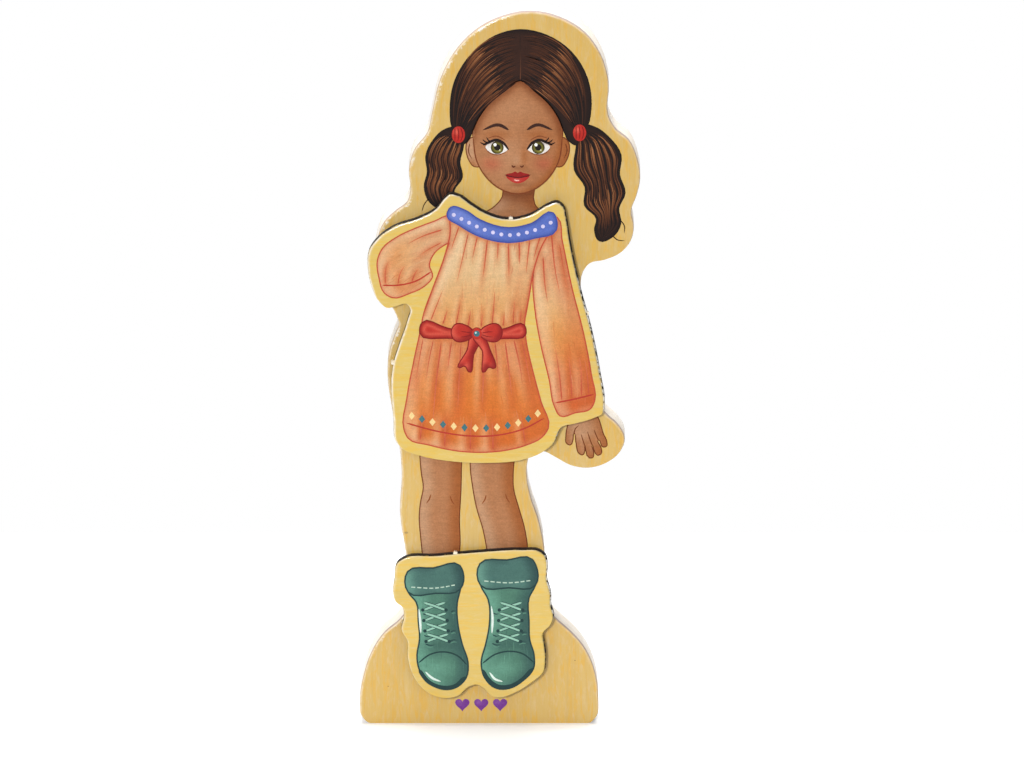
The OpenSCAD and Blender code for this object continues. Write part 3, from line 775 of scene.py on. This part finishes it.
for inner, outer, *_ in sections[:2]:  # roots along the parting
    for i in range(hairLook["roots"]):
        path = inner + (outer - inner) * (i + dice.random()) / hairLook["roots"]
        first = dice.randrange(0, 3)
        addStroke(hair, path[first:first + dice.randrange(6, 13)], dice.uniform(0.2, 0.36), 0.064,
                  mix(hairLook["base"], hairLook["mid"], dice.random()), hairLook["mid"], (0.6, 0.7))
parting = curve([13, 207.9, 13.1, 213, 13, 218, 12.9, 223.4])
addStroke(hair, parting, 0.3, 0.078, hairLook["parting"], hairLook["dark"], (0.1, 0.6))
addOutline(hair, hairLoops, *hairLook["outline"])
addLines(hair, hairLook["looseHairs"])
makeInk("hairInk", hair, figureInk, "doll", "hair_print")

ties = newInk(boardFront)
tieLook = dict(base=(186, 44, 36), light=(228, 110, 90), top=0.12, wrap=(0.3, 0.135, (124, 24, 24)))
for x, z in ((-6.6, 190.4), (31.8, 191)):
    addFill(ties, [circle(x, z, 2.1, 2.7)], tieLook["top"],
            lambda p: mix(tieLook["base"], tieLook["light"], 0.8 * glow(p, x - 0.7, z + 0.9, 0.9, 1.1)), 0.5)
    for k in (-0.9, 0.1, 1.1):
        wrap = curve([x + k * 0.9 - 0.3, z + 2.3, x + k * 1.2, z, x + k * 0.9 - 0.3, z - 2.3])
        addStroke(ties, wrap, *tieLook["wrap"])
makeInk("tieInk", ties, figureInk, "doll", "hair_tie_print")

# plain underclothes and the mark on the foot
underLook = dict(
    base=(200, 84, 70), light=(222, 122, 102), dark=(160, 52, 46), top=0.075,
    leftLight=(3, 0, 4, -2, 0.8), rightShade=(3, -0.5, 4, -2, 0.8), outline=(0.45, 0.09, (140, 40, 38)),
    lines=[(1.0, 0.105, (244, 226, 206), (0.05, 0.05),
            [-0.2, 163.4, 2, 158.2, 6.2, 155, 11.5, 154.6, 16.2, 156.4, 18.8, 161.4],
            [-18.6, 97.8, -11, 96.2, -3.6, 96.4], [-0.2, 96.4, 6, 96.6, 15.8, 97.8])],
    button=(244, 226, 206), buttons=(150, 143, 136),
)
under = newPrint(boardFront, cadLoops("underclothes_print"), underLook, step=0.9)
addLines(under, underLook["lines"])
for z in underLook["buttons"]:
    addDot(under, 8.4, z, 1.0, 0.115, underLook["button"])
makeInk("underclothesInk", under, figureInk, "doll", "underclothes_print")

foot = newInk(boardFront)
footLook = dict(
    base=(120, 62, 148), light=(150, 96, 176), top=0.035,
    specks=[(-23.2, 61.8, 0.6, (182, 150, 94)), (38.9, 166.4, 0.5, (86, 62, 44)),
            (30.4, 20.4, 0.2, (150, 104, 56)), (-29, 12, 0.22, (160, 112, 60))],  # in the varnish
)
for loop in cadLoops("foot_print"):
    x, z = loop.mean(0)
    addFill(foot, [loop], footLook["top"],
            lambda p: mix(footLook["base"], footLook["light"], 0.7 * glow(p, x - 0.8, z + 0.8, 1.1, 0.9)), 0.5)
for x, z, r, tone in footLook["specks"]:
    addDot(foot, x, z, r, 0.03, tone, r * 0.6)
makeInk("footInk", foot, figureInk, "doll", "foot_print")
print("figure printed")


# garments
garmentLook = dict(
    grain="x", seed=9.0, dark=(220, 187, 95), light=(225, 195, 108), warm=(228, 192, 85),
    patch=0.4, fleck=(231, 187, 64), flecks=0.6, pale=(227, 201, 131), speck=0.5,
    line=(208, 169, 81), fibre=0.28, rawAndGlint=(255, 251, 244), wearAndGlint=0.95, burntAndShade=(16, 13, 17),
    sootAndShade=0.45, glint=0.9, spark=0.45, rough=0.34, coat=0.7, bump=0.16,
)
garmentGleam = dict(  # chips on the right, below the shoulder
    way=(0.98, 0.2), turn=(0.72, 0.95), heights=(33, 38, 138, 150), shares=(0, 1, 1, 0),
    insets=(0.1, 0.2, 0.36, 0.62),
)
magnetLook = dict(
    base=(14, 14, 16), stain=(40, 39, 38), stains=(0.45, 0.8, 0, 0.6), rough=0.62, metal=0,
    scale=(1.2, 1.2, 1.2), detail=4, blur=0.65, seed=4, bump=(0.3, 0.05),
)
garmentWood = wood("garmentWood", garmentLook)
magnet = sheet("magnetSheet", magnetLook)
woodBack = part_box("dress_face")[1][1] / mm
garmentParts = (  # body, wooden node, magnet node, piece, strength of the pale wear and painted highlight, and torn stubs
    ("dress", "dress_face", "dress_magnet", "dressFace", 1,
     [(-27.4, 117.6, math.pi), (10, 164, math.pi / 2), (34.2, 133.4, 0.26)]),
    ("boots", "boots_face", "boots_magnet", "bootsFace", 0.4, [(-7.6, 55.9, 1.66)]),
)
for body, node, backing, name, rubAndGlint, stubs in garmentParts:
    # pale wear on the bevel rows carries a painted highlight
    rows = [
        (0.1, woodBack, 0, 1, 0), (0, woodBack - 0.2, 0, 1, 0), (0, garmentFront + 0.6, 0, 1, 0),
        # the last column adds painted shade to the burn on edges that face the right
        (0.06, garmentFront + 0.36, 0.05, 1, 0.5), (0.18, garmentFront + 0.18, 0.8 * rubAndGlint, 0.7, 0.8),
        (0.36, garmentFront + 0.06, rubAndGlint, 0, 1), (0.62, garmentFront, 0.3 * rubAndGlint, 0, 0.25),
        (1.0, garmentFront, 0, 0, 0),
    ]
    panel = plate(name, movedIn(cadLoops(backing)[0], -0.1), rows, garmentWood, garmentGleam, stubs)
    place(panel, body, node)
    recoat(backing, magnet)
print("garments made")

clothLook = dict(grain="x", grainShow=0.06, cloud=0.06, grit=0.09, rough=0.4, coat=0.07)
clothInk = printed("clothInk", clothLook)
dressLook = dict(
    stops=[(88, (208, 105, 43)), (104, (214, 116, 49)), (120, (218, 132, 64)), (133, (221, 160, 99)),
           (146, (225, 186, 136)), (168, (226, 195, 153))],
    fold=(194, 92, 52), line=(192, 80, 58), light=(242, 214, 178), leftSleeve=(216, 134, 74),
    cuff=(198, 84, 46), shoulder=(229, 190, 142), fadedLine=(226, 150, 96), top=0.035,
    softTones=[(194, 92, 52), (242, 214, 178), (206, 112, 84), (232, 168, 112)],
    skirtTones=[(194, 92, 52), (190, 84, 38), (206, 112, 84), (226, 146, 84)],
    outline=(0.38, 0.05, (192, 80, 58)), diamonds=[(246, 214, 150), (70, 118, 124)],
    hems=[(0.5, 0.064, (186, 62, 48), (0.05, 0.05), [24, 104.6, 30, 105.8, 36.4, 107.4],
           [-30.8, 142.6, -26, 142.6, -20, 144, -15.2, 147],
           [-23.4, 98.2, -14, 95.6, -4, 94, 6, 94.2, 14, 96.2, 20.8, 99.8])],
    brush=[  # how many, box, the point that they fan out from, and tones
        (420, (-25, 89, 22, 124), (-2, 190), "skirtTones"), (160, (-13, 130, 14, 143), (0, 40), "softTones"),
        (200, (-7, 143, 14, 157), (0, 40), "softTones"), (200, (21, 104, 38, 158), (18, 260), "softTones"),
        (90, (-32, 140, -19, 160), (20, 170), "softTones")],
)
collarLow = curve([24.4, 160.4, 17.6, 157.8, 9.4, 156.4, -1, 158.8, -6.4, 162, -10.2, 165])
sashLow = curve([-18.9, 127, -10, 125.5, -1, 125, 8, 125.4, 14.8, 126.8])
dressLoops = cadLoops("dress_print")
bodiceFolds = curves(
    [-6.4, 161.6, -8.6, 155, -10, 149], [-3.4, 159.8, -5.6, 150, -8, 140], [-0.6, 158.4, -1.8, 153, -2.8, 148],
    [2.6, 157.4, 1.4, 147, -0.4, 136], [6, 156.6, 5.8, 152, 5.4, 147], [9.2, 156.2, 9.4, 147, 9, 138],
    [12.6, 156.6, 12.8, 152, 12.8, 148], [16, 157.2, 15.2, 150, 14.6, 143], [19.4, 158.4, 18, 154, 17, 150],
    [-15.4, 131.2, -13.4, 136.4, -11.2, 142], [-11.6, 130, -10.4, 133.6, -9.4, 136.6],
    [-7.4, 129.6, -6.2, 136, -5.2, 143], [-3.6, 129.2, -3, 132.6, -2.6, 135.6], [0.6, 129, 1, 133.4, 1.4, 137.6],
    [4, 129.2, 4.6, 136, 5, 142], [7.6, 129.4, 7.8, 132.4, 8, 135], [10.8, 130.2, 11, 135, 11.4, 139.4],
    [13, 130.8, 13.2, 133.6, 13.6, 136])
skirtFolds = curves(
    [-17.8, 125.6, -19.8, 114, -21.4, 100], [-14.6, 125, -16, 118, -17.2, 110], [-12, 124.6, -13.8, 110, -15, 94],
    [-8.8, 124.4, -9.8, 117, -10.4, 109], [-5.8, 124, -6.6, 108, -7.2, 92.6], [-2.4, 123.8, -2.6, 118, -3, 112],
    [1.6, 123.8, 1.2, 110, 0.6, 94], [5, 124.2, 5.8, 116, 6.2, 107], [8.2, 124.6, 10, 110, 11, 94],
    [11, 125, 12.8, 117, 14, 109], [13.4, 125.6, 16, 112, 18.2, 98], [-18.8, 92.6, -18.2, 98, -17.4, 104],
    [-11, 90.4, -10.8, 97, -10.2, 104], [-2.8, 89.4, -2.8, 95, -2.4, 101], [4.4, 89.4, 4.2, 96, 3.8, 103],
    [14.6, 91.6, 13.6, 98, 12.6, 104])
sleeveFolds = curves(
    [22.8, 160, 24, 148, 27.4, 132], [20.2, 152, 20.8, 143, 22.2, 134], [25.4, 156, 27.4, 144, 30.6, 130],
    [26.2, 105.4, 25.4, 114, 23.8, 124], [29.4, 106, 28.8, 116, 27, 128], [32.4, 106.6, 32.2, 116, 30.6, 126],
    [34.8, 107.2, 34.2, 114, 33, 121], [-11.6, 160.6, -18, 158.4, -25, 154.6], [-12, 156.4, -17, 153.6, -22, 149.4],
    [-29.8, 143, -29.6, 148, -27.6, 152.6], [-25.8, 142.8, -25, 146.6, -22.8, 150],
    [-21.4, 143.8, -20, 147, -17.6, 149.4])
gownSeams = curves(
    [24.6, 162.6, 20.2, 156, 17.4, 148, 15.8, 139, 14.4, 130.6],
    [-9.4, 164.4, -9.2, 160, -11, 152, -14.6, 142, -17.6, 133.4])


def folded(c, p, folds, wide, deep):  # soft dark pleats with a lit side, fading along their length
    for line in folds:
        w, k = wide * dice.uniform(0.75, 1.3), deep * dice.uniform(0.6, 1.15)
        d, u = beside(p, line)
        lit, _ = beside(p + [1.5 * w, 0], line)
        fade = rise(u, -0.1, 0.08) * (1 - rise(u, 0.35, 1.0))
        c = mix(c, dressLook["light"], 0.5 * k * fade * soft(lit, w))
        c = mix(c, dressLook["fold"], k * fade * soft(d, w))
    return c


def dressColour(p):
    c = ramp(p[:, 1], dressLook["stops"])
    c = mix(c, dressLook["leftSleeve"], 0.7 * rise(-p[:, 0], 15, 29))
    c = mix(c, dressLook["cuff"], 0.55 * rise(p[:, 0], 21, 25) * rise(-p[:, 1], -124, -104))
    c = mix(c, dressLook["shoulder"], 0.5 * rise(p[:, 0], 18, 22) * rise(p[:, 1], 126, 142))
    c = mix(c, dressLook["fold"], 0.3 * rise(depth(p + [4, -0.5], dressLoops), 4.5, -2))
    c = mix(c, dressLook["light"], 0.45 * rise(depth(p - [3, 0.6], dressLoops), 3, -1.5))
    for folds, wide, deep in ((bodiceFolds, 1.0, 0.5), (skirtFolds, 1.5, 0.75), (sleeveFolds, 1.5, 0.6)):
        c = folded(c, p, folds, wide, deep)
    shadows = [(line, 0.5, 1.1) for line in gownSeams] + [(collarLow, 0.55, 1.3), (sashLow, 0.5, 1.6)]
    for line, strength, wide in shadows:
        c = mix(c, dressLook["fold"], strength * soft(beside(p, line)[0], wide))
    return mix(c, dressLook["line"], 0.4 * soft(depth(p, dressLoops), 0.5))


dress = newPrint(garmentFront, dressLoops, dressLook, dressColour, 0.55)
for count, box, apex, tones in dressLook["brush"]:
    addBrush(dress, dressLoops, count, box, apex, dressLook[tones], 0.043)
for line in bodiceFolds + sleeveFolds + skirtFolds:
    cut = line[:max(4, int(len(line) * dice.uniform(0.6, 1)))]
    addStroke(dress, cut, dice.uniform(0.28, 0.48), 0.052, dressLook["line"],
              mix(dressLook["line"], dressLook["fadedLine"], 0.6), (0.1, 0.9))
for line in gownSeams:
    addStroke(dress, line, 0.42, 0.058, dressLook["line"], ends=(0.1, 0.2))
addLines(dress, dressLook["hems"])
hemLine = curve([-22.6, 100.8, -14, 98.2, -4, 96.6, 6, 96.8, 14, 98.8, 19.6, 101.8], steps=20)
for i, (x, z) in enumerate(spaced(hemLine, 1.2, 1.2, 13)):
    diamond = np.array([(x - 1, z), (x, z - 1.3), (x + 1, z), (x, z + 1.3)])
    addFill(dress, [diamond], 0.07, lambda p: dressLook["diamonds"][i % 2], 3)
makeInk("dressInk", dress, clothInk, "dress", "dress_print")

collarLoops = cadLoops("collar_print")
collarLook = dict(
    base=(92, 114, 192), light=(124, 142, 214), dark=(62, 80, 158), dot=(214, 208, 240),
    top=0.085, outline=(0.36, 0.1, (62, 80, 158)),
)


def collarColour(p):
    c = mix(collarLook["base"], collarLook["light"], rise(p[:, 0], 8, -8) * 0.7)
    return mix(c, collarLook["dark"], 0.7 * soft(depth(p, collarLoops), 0.8))


collar = newPrint(garmentFront, collarLoops, collarLook, collarColour, 0.5)
collarMid = curve([-8.6, 165.6, -4, 163.2, 1, 160.8, 9.4, 158.8, 17, 160.2, 23, 163], steps=16)
for x, z in spaced(collarMid, 0.6, 0.4, 13):
    addDot(collar, x, z, 0.62, 0.108, collarLook["dot"])
makeInk("collarInk", collar, clothInk, "dress", "collar_print")

sashLoops = cadLoops("sash_print")
sashLook = dict(
    base=(188, 52, 42), light=(222, 98, 78), dark=(128, 26, 28), top=0.085,
    leftLight=(1, 0.8, 1.4, -0.8, 0.8), rightShade=(0.9, -0.8, 1.2, -0.8, 0.75),
    outline=(0.36, 0.1, (128, 26, 28)),
    bow=[  # height and outline: two tails, then two loops
        (0.112, [-2, 126.4, -3.9, 121.6, -6.2, 116, -4.7, 116.5, -3.3, 114.6, -1.8, 120.2, 0, 126]),
        (0.126, [-1.6, 126.4, 1, 121.4, 1.7, 114.6, 3.1, 116.1, 4.5, 115.7, 3.5, 121.6, 0.6, 126.4]),
        (0.145, [-1.8, 127, -4.6, 129.9, -7.6, 130, -8.9, 127.3, -7.6, 124.7, -4.5, 124.6]),
        (0.145, [0.2, 127, 3, 129.9, 6, 130, 7.3, 127.3, 6, 124.7, 2.9, 124.6])],
    pleats=[(0.28, 0.16, (128, 26, 28), (0.1, 0.8), [-2.4, 126.7, -4.2, 126.1, -6, 125.9],
             [-2.4, 127.18, -4.2, 127.54, -6, 127.66], [0.8, 126.7, 2.6, 126.1, 4.4, 125.9],
             [0.8, 127.18, 2.6, 127.54, 4.4, 127.66])],
    knot=[(-0.8, 127, 1.6, 0.172, (188, 52, 42), 1.85), (-0.8, 127, 0.95, 0.185, (64, 112, 122)),
          (-1.1, 127.3, 0.32, 0.198, (196, 222, 220))],
)


def sashColour(p):
    inner = depth(p, sashLoops)
    c = mix(sashLook["base"], sashLook["light"], 0.7 * soft(inner - 1.4, 0.6))
    return mix(c, sashLook["dark"], 0.6 * soft(inner, 0.7))


sash = newPrint(garmentFront, sashLoops, sashLook, sashColour, 0.5)
for top, points in sashLook["bow"]:
    loop = ring(points)
    addFill(sash, [loop], top, lambda p: shaded(p, [loop], sashLook), 0.5)
    addOutline(sash, [loop], 0.32, top + 0.012, sashLook["dark"])
addLines(sash, sashLook["pleats"])
for dot in sashLook["knot"]:
    addDot(sash, *dot)
makeInk("sashInk", sash, clothInk, "dress", "sash_print")

# boots
bootsLook = dict(
    base=(80, 124, 106), light=(108, 162, 140), dark=(56, 88, 84), line=(38, 64, 64),
    lace=(152, 200, 178), top=0.035, brush=[(56, 88, 84), (108, 162, 140), (96, 146, 130)],
    leftLight=(2.6, 0.8, 3.2, -2, 0.85), rightShade=(2.6, 0.4, 3.4, -2, 0.85),
    outline=(0.5, 0.05, (38, 64, 64)),
    glows=[("dark", 0.55, -11.8, 26, 6, 2.4), ("dark", 0.55, 8.8, 26.6, 6, 2.4),  # ankles, then toes
           ("light", 0.8, -13.4, 18.6, 4.6, 3), ("light", 0.8, 7, 18.6, 4.6, 3)],
    seams=[  # over the toes, then the soles
        (0.5, 0.056, (38, 64, 64), (0.1, 0.1), [-19.4, 20.4, -15.6, 23.2, -11, 24, -7, 22.8, -3.9, 19.8],
         [0.9, 20.2, 5, 23.2, 9.4, 24.2, 13.8, 23.4, 17.3, 20.6]),
        (1.3, 0.056, (38, 64, 64), (0.1, 0.1), [-19.3, 18.4, -16, 14.2, -12, 12.5, -8, 12.8, -4.4, 16],
         [0.9, 18.4, 2.6, 15.4, 6, 12.8, 9.6, 12.8, 13.6, 15, 17, 18.8])],
    shines=[(0.75, 0.07, (226, 242, 232), (0.5, 0.6), [-17.2, 17.6, -14.8, 15.4, -12.2, 14.4],
             [3.2, 17.4, 5, 15.2, 7.4, 14.4], [-18.6, 30, -18.8, 34, -19.2, 38], [4, 30, 4.2, 35, 3.8, 39])],
    creases=[  # place, width and drop
        (-17.2, 26.6, 3.2, -0.7), (-9.4, 27.4, 2.8, 0.8), (-17.6, 29.4, 2.2, -0.6), (-9.2, 30.4, 2.2, 0.7),
        (-18, 36.4, 1.8, -0.4), (-9, 37, 1.8, 0.5), (4, 26.8, 3, -0.8), (12.4, 27, 3, 0.7),
        (4.2, 29.6, 2.2, -0.7), (13.4, 30, 2, 0.6), (4.4, 36.6, 1.8, -0.5), (13.6, 37, 1.8, 0.4)],
)
bootLoops = cadLoops("boots_print")


def bootColour(p):
    c = shaded(p, bootLoops, bootsLook)
    for tone, strength, *spot in bootsLook["glows"]:
        c = mix(c, bootsLook[tone], strength * glow(p, *spot))
    return c


boots = newPrint(garmentFront, bootLoops, bootsLook, bootColour, 0.55)
for box in ((-21, 12, -4, 42), (0, 12, 18, 44)):
    addBrush(boots, bootLoops, 110, box, ((box[0] + box[2]) / 2, 150), bootsLook["brush"], 0.043)
addLines(boots, bootsLook["seams"])
for x0, lean in ((-13.2, -0.1), (9.4, 0.06)):
    for i in range(4):
        z = 27.4 + i * 3.4
        x = x0 + lean * (z - 27)
        for k, top in ((1, 0.07), (-1, 0.09)):
            lace = curve([x - k * 3.4, z, x, z + 1.3, x + k * 3.4, z + 2.4])
            addStroke(boots, lace, 1.05, top - 0.004, bootsLook["line"], ends=(0.1, 0.1))
            addStroke(boots, lace, 0.66, top + 0.006, bootsLook["lace"], ends=(0.1, 0.1))
        for s in (-1, 1):
            addDot(boots, x + s * 3.7, z, 0.55, 0.104, bootsLook["line"])
addLines(boots, bootsLook["shines"])
for x, z, wide, drop in bootsLook["creases"]:
    dent = curve([x, z, x + wide / 2, z + drop * 0.7, x + wide, z + drop * 0.4])
    addStroke(boots, dent, 0.42, 0.056, bootsLook["line"], bootsLook["dark"], (0.3, 0.8))
    ridge = curve([x + 0.2, z - 0.6, x + wide / 2, z + drop * 0.7 - 0.7, x + wide * 0.8, z + drop * 0.4 - 0.6])
    addStroke(boots, ridge, 0.34, 0.062, mix(bootsLook["base"], bootsLook["light"], 0.4), ends=(0.4, 0.8))
makeInk("bootsInk", boots, clothInk, "boots", "boots_print")

trim = newInk(garmentFront)
trimLoops = cadLoops("boots_trim_print")
trimLook = dict(
    base=(74, 112, 104), light=(108, 156, 140), dark=(46, 72, 72), top=0.085,
    leftLight=(2, 0.6, 2.4, -1.5, 0.8), rightShade=(2, 0.2, 2.4, -1.5, 0.8),
    outline=(0.5, 0.1, (38, 64, 64)), stitch=(0.36, 0.1, (190, 214, 196)),
    seams=[[-21.6, 45, -14, 44.7, -7.2, 45.8], [1.6, 47, 9.4, 46.4, 16.8, 47.2]],
)
for loop in trimLoops:
    addFill(trim, [loop], trimLook["top"], lambda p: shaded(p, trimLoops, trimLook), 0.55)
addOutline(trim, trimLoops, *trimLook["outline"])
for points in trimLook["seams"]:
    line = curve(points, steps=12)
    for i in range(0, len(line) - 2, 3):
        addStroke(trim, line[i:i + 3], *trimLook["stitch"], ends=(0, 0))
makeInk("bootsTrimInk", trim, clothInk, "boots", "boots_trim_print")
print("garments printed")


# stage, camera and light
cameraLook = dict(
    centre=(10.38, boardFront, 109.9), elevation=11.0, distance=10.0, sensor=36, clip=(0.5, 60),
    scale=3.151, width=1024,  # picture points per millimetre, and across
)
up = math.radians(cameraLook["elevation"])
camera = linked("camera", bpy.data.cameras.new("camera"))
cx, cy, cz = (v * mm for v in cameraLook["centre"])
far = cameraLook["distance"]
camera.location = (cx, cy - far * math.cos(up), cz + far * math.sin(up))
camera.rotation_euler = (math.pi / 2 - up, 0, 0)
camera.data.sensor_width = cameraLook["sensor"]
camera.data.lens = cameraLook["sensor"] * far / (cameraLook["width"] / cameraLook["scale"] * mm)
camera.data.clip_start, camera.data.clip_end = cameraLook["clip"]
bpy.context.scene.camera = camera

floorLook = dict(  # the floor looks paler than the light it throws back
    corners=[(-0.45, -0.45, 0), (0.45, -0.45, 0), (0.45, 0.3, 0), (-0.45, 0.3, 0)],
    seen=(246, 246, 246), thrown=(200, 200, 200), shine=0.24, rough=0.7, specular=0.2,
)
floorMesh = bpy.data.meshes.new("floor")
floorMesh.from_pydata(floorLook["corners"], [], [(0, 1, 2, 3)])
floor = linked("floor", floorMesh)
pale, tree, shader = newMaterial("paleFloor")
thrown = newNode(tree, "LightPath", {}, "Is Diffuse Ray")
feed(shader, {
    "Base Color": blend(thrown, floorLook["seen"], floorLook["thrown"]),
    "Emission Strength": spread(thrown, 0, 1, floorLook["shine"], 0), "Emission Color": (1, 1, 1, 1),
    "Roughness": floorLook["rough"], "Specular IOR Level": floorLook["specular"]})
floorMesh.materials.append(pale)

lampLook = dict(  # place, aim, size and power
    key=((-0.34, -1.95, 0.56), (0, 0, 0.12), 0.22, 21.2),
    glint=((-1.1, -1.2, 1.2), (0, 0, 0.12), 0.15, 1.5),
    fill=((0.8, -1.8, 0.5), (0, 0, 0.12), 1.2, 3),
    top=((0.04, 0.3, 1.4), (0, 0, 0.1), 0.9, 24),
    side=((-1.6, 0.15, 0.7), (0, 0, 0.12), 0.5, 6),
)
for name, (spot, aim, size, power) in lampLook.items():
    light = bpy.data.lights.new(name, "AREA")
    light.energy, light.size = power, size
    lamp = linked(name, light)
    lamp.location = spot
    lamp.rotation_euler = (Vector(aim) - Vector(spot)).to_track_quat("-Z", "Y").to_euler()

worldLook = dict(ambient=0.21, backdrop=1.0)
world = bpy.data.worlds.new("studio")
bpy.context.scene.world = world
world.use_nodes = True
tree = world.node_tree
rays = tree.nodes.new("ShaderNodeLightPath").outputs
mirrored = combined("MAXIMUM", rays["Is Glossy Ray"], rays["Is Transmission Ray"])
seen = combined("MAXIMUM", rays["Is Camera Ray"], mirrored)
level = spread(seen, 0, 1, worldLook["ambient"], worldLook["backdrop"])
feed(tree.nodes["Background"], {"Color": (1, 1, 1, 1), "Strength": level})
bpy.context.scene.view_settings.view_transform = "Standard"
print("stage set")
